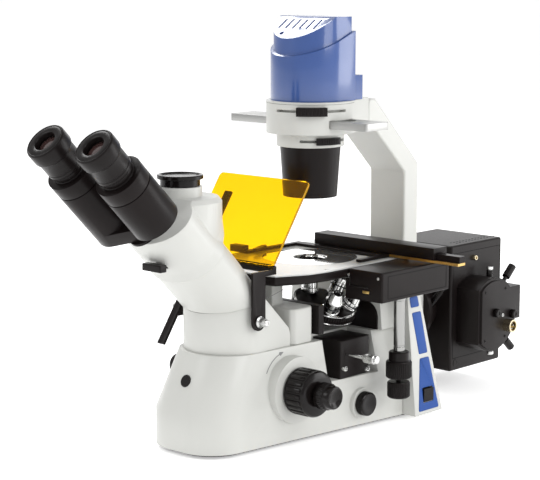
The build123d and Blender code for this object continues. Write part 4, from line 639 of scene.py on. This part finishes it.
# Arc arrow beside the coarse focus, without words, laid on the right side of the base
ARROW_RADIUS, ARROW_WIDTH, ARROW_STEPS, ARROW_HEAD = 43, 1.0, 24, 4
PAINT_LIFT = 0.00012  # metres
base = frame["nodes"]["base_casting"]
base_skin = BVHTree.FromPolygons([base.matrix_world @ v.co for v in base.data.vertices],
                                 [tuple(f.vertices) for f in base.data.polygons])
arrow = []
for step in range(ARROW_STEPS + 1):
    turn = math.radians(148 - 2 * step)
    out_y, out_z = math.cos(turn), math.sin(turn)
    left = ARROW_STEPS - step
    share = 1.0 if left > ARROW_HEAD else 4.5 * (left + 0.05) / ARROW_HEAD
    pair = []
    for half in (-0.5, 0.5):
        reach = ARROW_RADIUS + ARROW_WIDTH * share * half
        start = Vector((250, FOCUS_AXIS[1] + out_y * reach, FOCUS_AXIS[2] + out_z * reach)) * MM
        hit = base_skin.ray_cast(start, Vector((-1, 0, 0)))
        pair.append(hit[0] + hit[1] * PAINT_LIFT)
    arrow.append(pair)
keep("focus_arrow", strip_mesh(arrow, Vector(X_WAY)), grey_mark, "stand")

# Seam between the tower and the head's neck, on a plane that rises to the back
NECK_RADIUS, NECK_Y, SEAM_BACK, SEAM_HALF = 50.12, -137, -100, 0.3
rim = [(-NECK_RADIUS, SEAM_BACK)]
for step in range(61):
    turn = math.radians(180 + 3 * step)
    rim.append((NECK_RADIUS * math.cos(turn), NECK_Y + NECK_RADIUS * math.sin(turn)))
rim.append((NECK_RADIUS, SEAM_BACK))
seam = []
for x, y in rim:
    z = 154.5 + (y + 187) * 13.2 / 57.3
    seam.append([(x * MM, y * MM, (z + half) * MM) for half in (-SEAM_HALF, SEAM_HALF)])
keep("neck_seam", strip_mesh(seam), crease, "stand")

# Soft step where the head block ends above the neck: a band of the head's own wall, lifted and
# run out upwards. Levels are measured along the neck.
STEP_LEVELS = (297.0, 297.5, 298.5, 300.0, 303.0, 306.0, 309.0, 312.0, 315.0)
STEP_LOW, STEP_HIGH = STEP_LEVELS[0], STEP_LEVELS[-1]
STEP_HEIGHT, STEP_SINK, STEP_ROUND = 1.8, 0.3, 1.5
NECK_CENTRE = Vector((0, NECK_Y, 154.5)) * MM


def level_of(vert):
    return vert.co.dot(HEAD_LEAN) / MM


def lifted(level):
    """How far the band stands off the wall at one level."""
    above = level - STEP_LOW
    if above < STEP_ROUND:
        return STEP_HEIGHT - 0.5 * (STEP_ROUND - above) ** 2
    share = min((above - STEP_ROUND) / (STEP_HIGH - STEP_LOW - STEP_ROUND), 1.0)
    return (STEP_HEIGHT + STEP_SINK) * (1 - share) ** 1.5 - STEP_SINK


def spot_key(vert):
    return tuple(round(value, 7) for value in vert.co)


def head_band():
    """The lifted band, with a foot that runs back into the wall."""
    head = frame["nodes"]["trinocular_head"]
    bm = bmesh.new()
    bm.from_mesh(head.data)
    bm.transform(head.matrix_world)
    bmesh.ops.remove_doubles(bm, verts=bm.verts, dist=WELD)
    for level in STEP_LEVELS:
        bmesh.ops.bisect_plane(bm, geom=bm.verts[:] + bm.edges[:] + bm.faces[:], dist=1e-7,
                               plane_co=HEAD_LEAN * level * MM, plane_no=HEAD_LEAN,
                               clear_inner=level == STEP_LOW, clear_outer=level == STEP_HIGH)
    bm.normal_update()
    outward_at = {spot_key(v): v.normal.copy() for v in bm.verts}
    low_rim = [e for e in bm.edges if e.is_boundary
               and all(abs(level_of(v) - STEP_LOW) < 0.01 for v in e.verts)]
    made = bmesh.ops.extrude_edge_only(bm, edges=low_rim)
    foot = {v for v in made["geom"] if isinstance(v, bmesh.types.BMVert)}
    for v in bm.verts:
        lift = -STEP_SINK if v in foot else lifted(level_of(v))
        v.co += outward_at[spot_key(v)] * lift * MM
    bmesh.ops.recalc_face_normals(bm, faces=bm.faces)
    facing = 0.0
    for f in bm.faces:
        arm = f.calc_center_median() - NECK_CENTRE
        facing += (arm - HEAD_LEAN * arm.dot(HEAD_LEAN)).dot(f.normal)
    if facing < 0:
        bmesh.ops.reverse_faces(bm, faces=bm.faces)
    return mesh_from(bm, "band")


keep("head_step", head_band(), white, "stand", (), SOFT)

# Light: a pale floor, a white world and soft studio boxes. Lengths from here on are in metres.
FLOOR_HALF, FLOOR_GLOW, WORLD_GLOW = 60.0, 0.44, 0.60
WHITE_LIGHT = (1, 1, 1, 1)
floor_mesh = bpy.data.meshes.new("floor")
floor_corners = [(x * FLOOR_HALF, y * FLOOR_HALF, 0) for x, y in ((-1, -1), (1, -1), (1, 1), (-1, 1))]
floor_mesh.from_pydata(floor_corners, [], [(0, 1, 2, 3)])
floor_paint = surface("floor_paper", (0.96, 0.96, 0.96), 0.7, grain=300, bump=0.01, shade=0.01,
                      specular=0.2)
floor_shader = next(n for n in floor_paint.node_tree.nodes if n.type == "BSDF_PRINCIPLED")
floor_shader.inputs["Emission Color"].default_value = WHITE_LIGHT
floor_shader.inputs["Emission Strength"].default_value = FLOOR_GLOW
floor_mesh.materials.append(floor_paint)
floor = bpy.data.objects.new("floor", floor_mesh)
scene.collection.objects.link(floor)

world = bpy.data.worlds.new("studio")
scene.world = world
world.use_nodes = True
background = world.node_tree.nodes["Background"]
background.inputs["Color"].default_value = WHITE_LIGHT
background.inputs["Strength"].default_value = WORLD_GLOW


def soft_box(name, spot, aim, size, power):
    """A rectangular lamp that looks at a point."""
    lamp = bpy.data.lights.new(name, "AREA")
    lamp.shape = "RECTANGLE"
    lamp.size, lamp.size_y = size
    lamp.energy = power
    obj = bpy.data.objects.new(name, lamp)
    scene.collection.objects.link(obj)
    obj.location = spot
    obj.rotation_mode = "QUATERNION"
    obj.rotation_quaternion = (Vector(aim) - Vector(spot)).to_track_quat("-Z", "Y")


soft_box("key", (2.5, 0.1, 1.5), (0, 0, 0.2), (1.4, 1.4), 30)
soft_box("front", (-1.2, -2.2, 1.7), (0, 0, 0.2), (1.2, 1.2), 16)
soft_box("crown", (-1.34, 0.32, 1.90), (0, 0, 0.45), (0.9, 0.9), 22)
soft_box("back", (-2.1, 2.3, 1.15), (0, 0, 0.25), (3.0, 1.1), 12)
soft_box("rim", (1.7, 1.8, 0.6), (0, 0, 0.3), (1.0, 1.2), 14)

# Camera, fitted to the photograph
CAMERA_SPOT = (1.3546, -1.5313, 0.5399)
CAMERA_TILT, CAMERA_TURN = math.radians(80.9), math.radians(42.8)
camera_data = bpy.data.cameras.new("camera")
camera_data.sensor_fit = "HORIZONTAL"
camera_data.sensor_width = 36
camera_data.lens = 118.67
camera = bpy.data.objects.new("camera", camera_data)
scene.collection.objects.link(camera)
camera.location = CAMERA_SPOT
camera.rotation_euler = (CAMERA_TILT, 0, CAMERA_TURN)
scene.camera = camera
scene.view_settings.view_transform = "Standard"
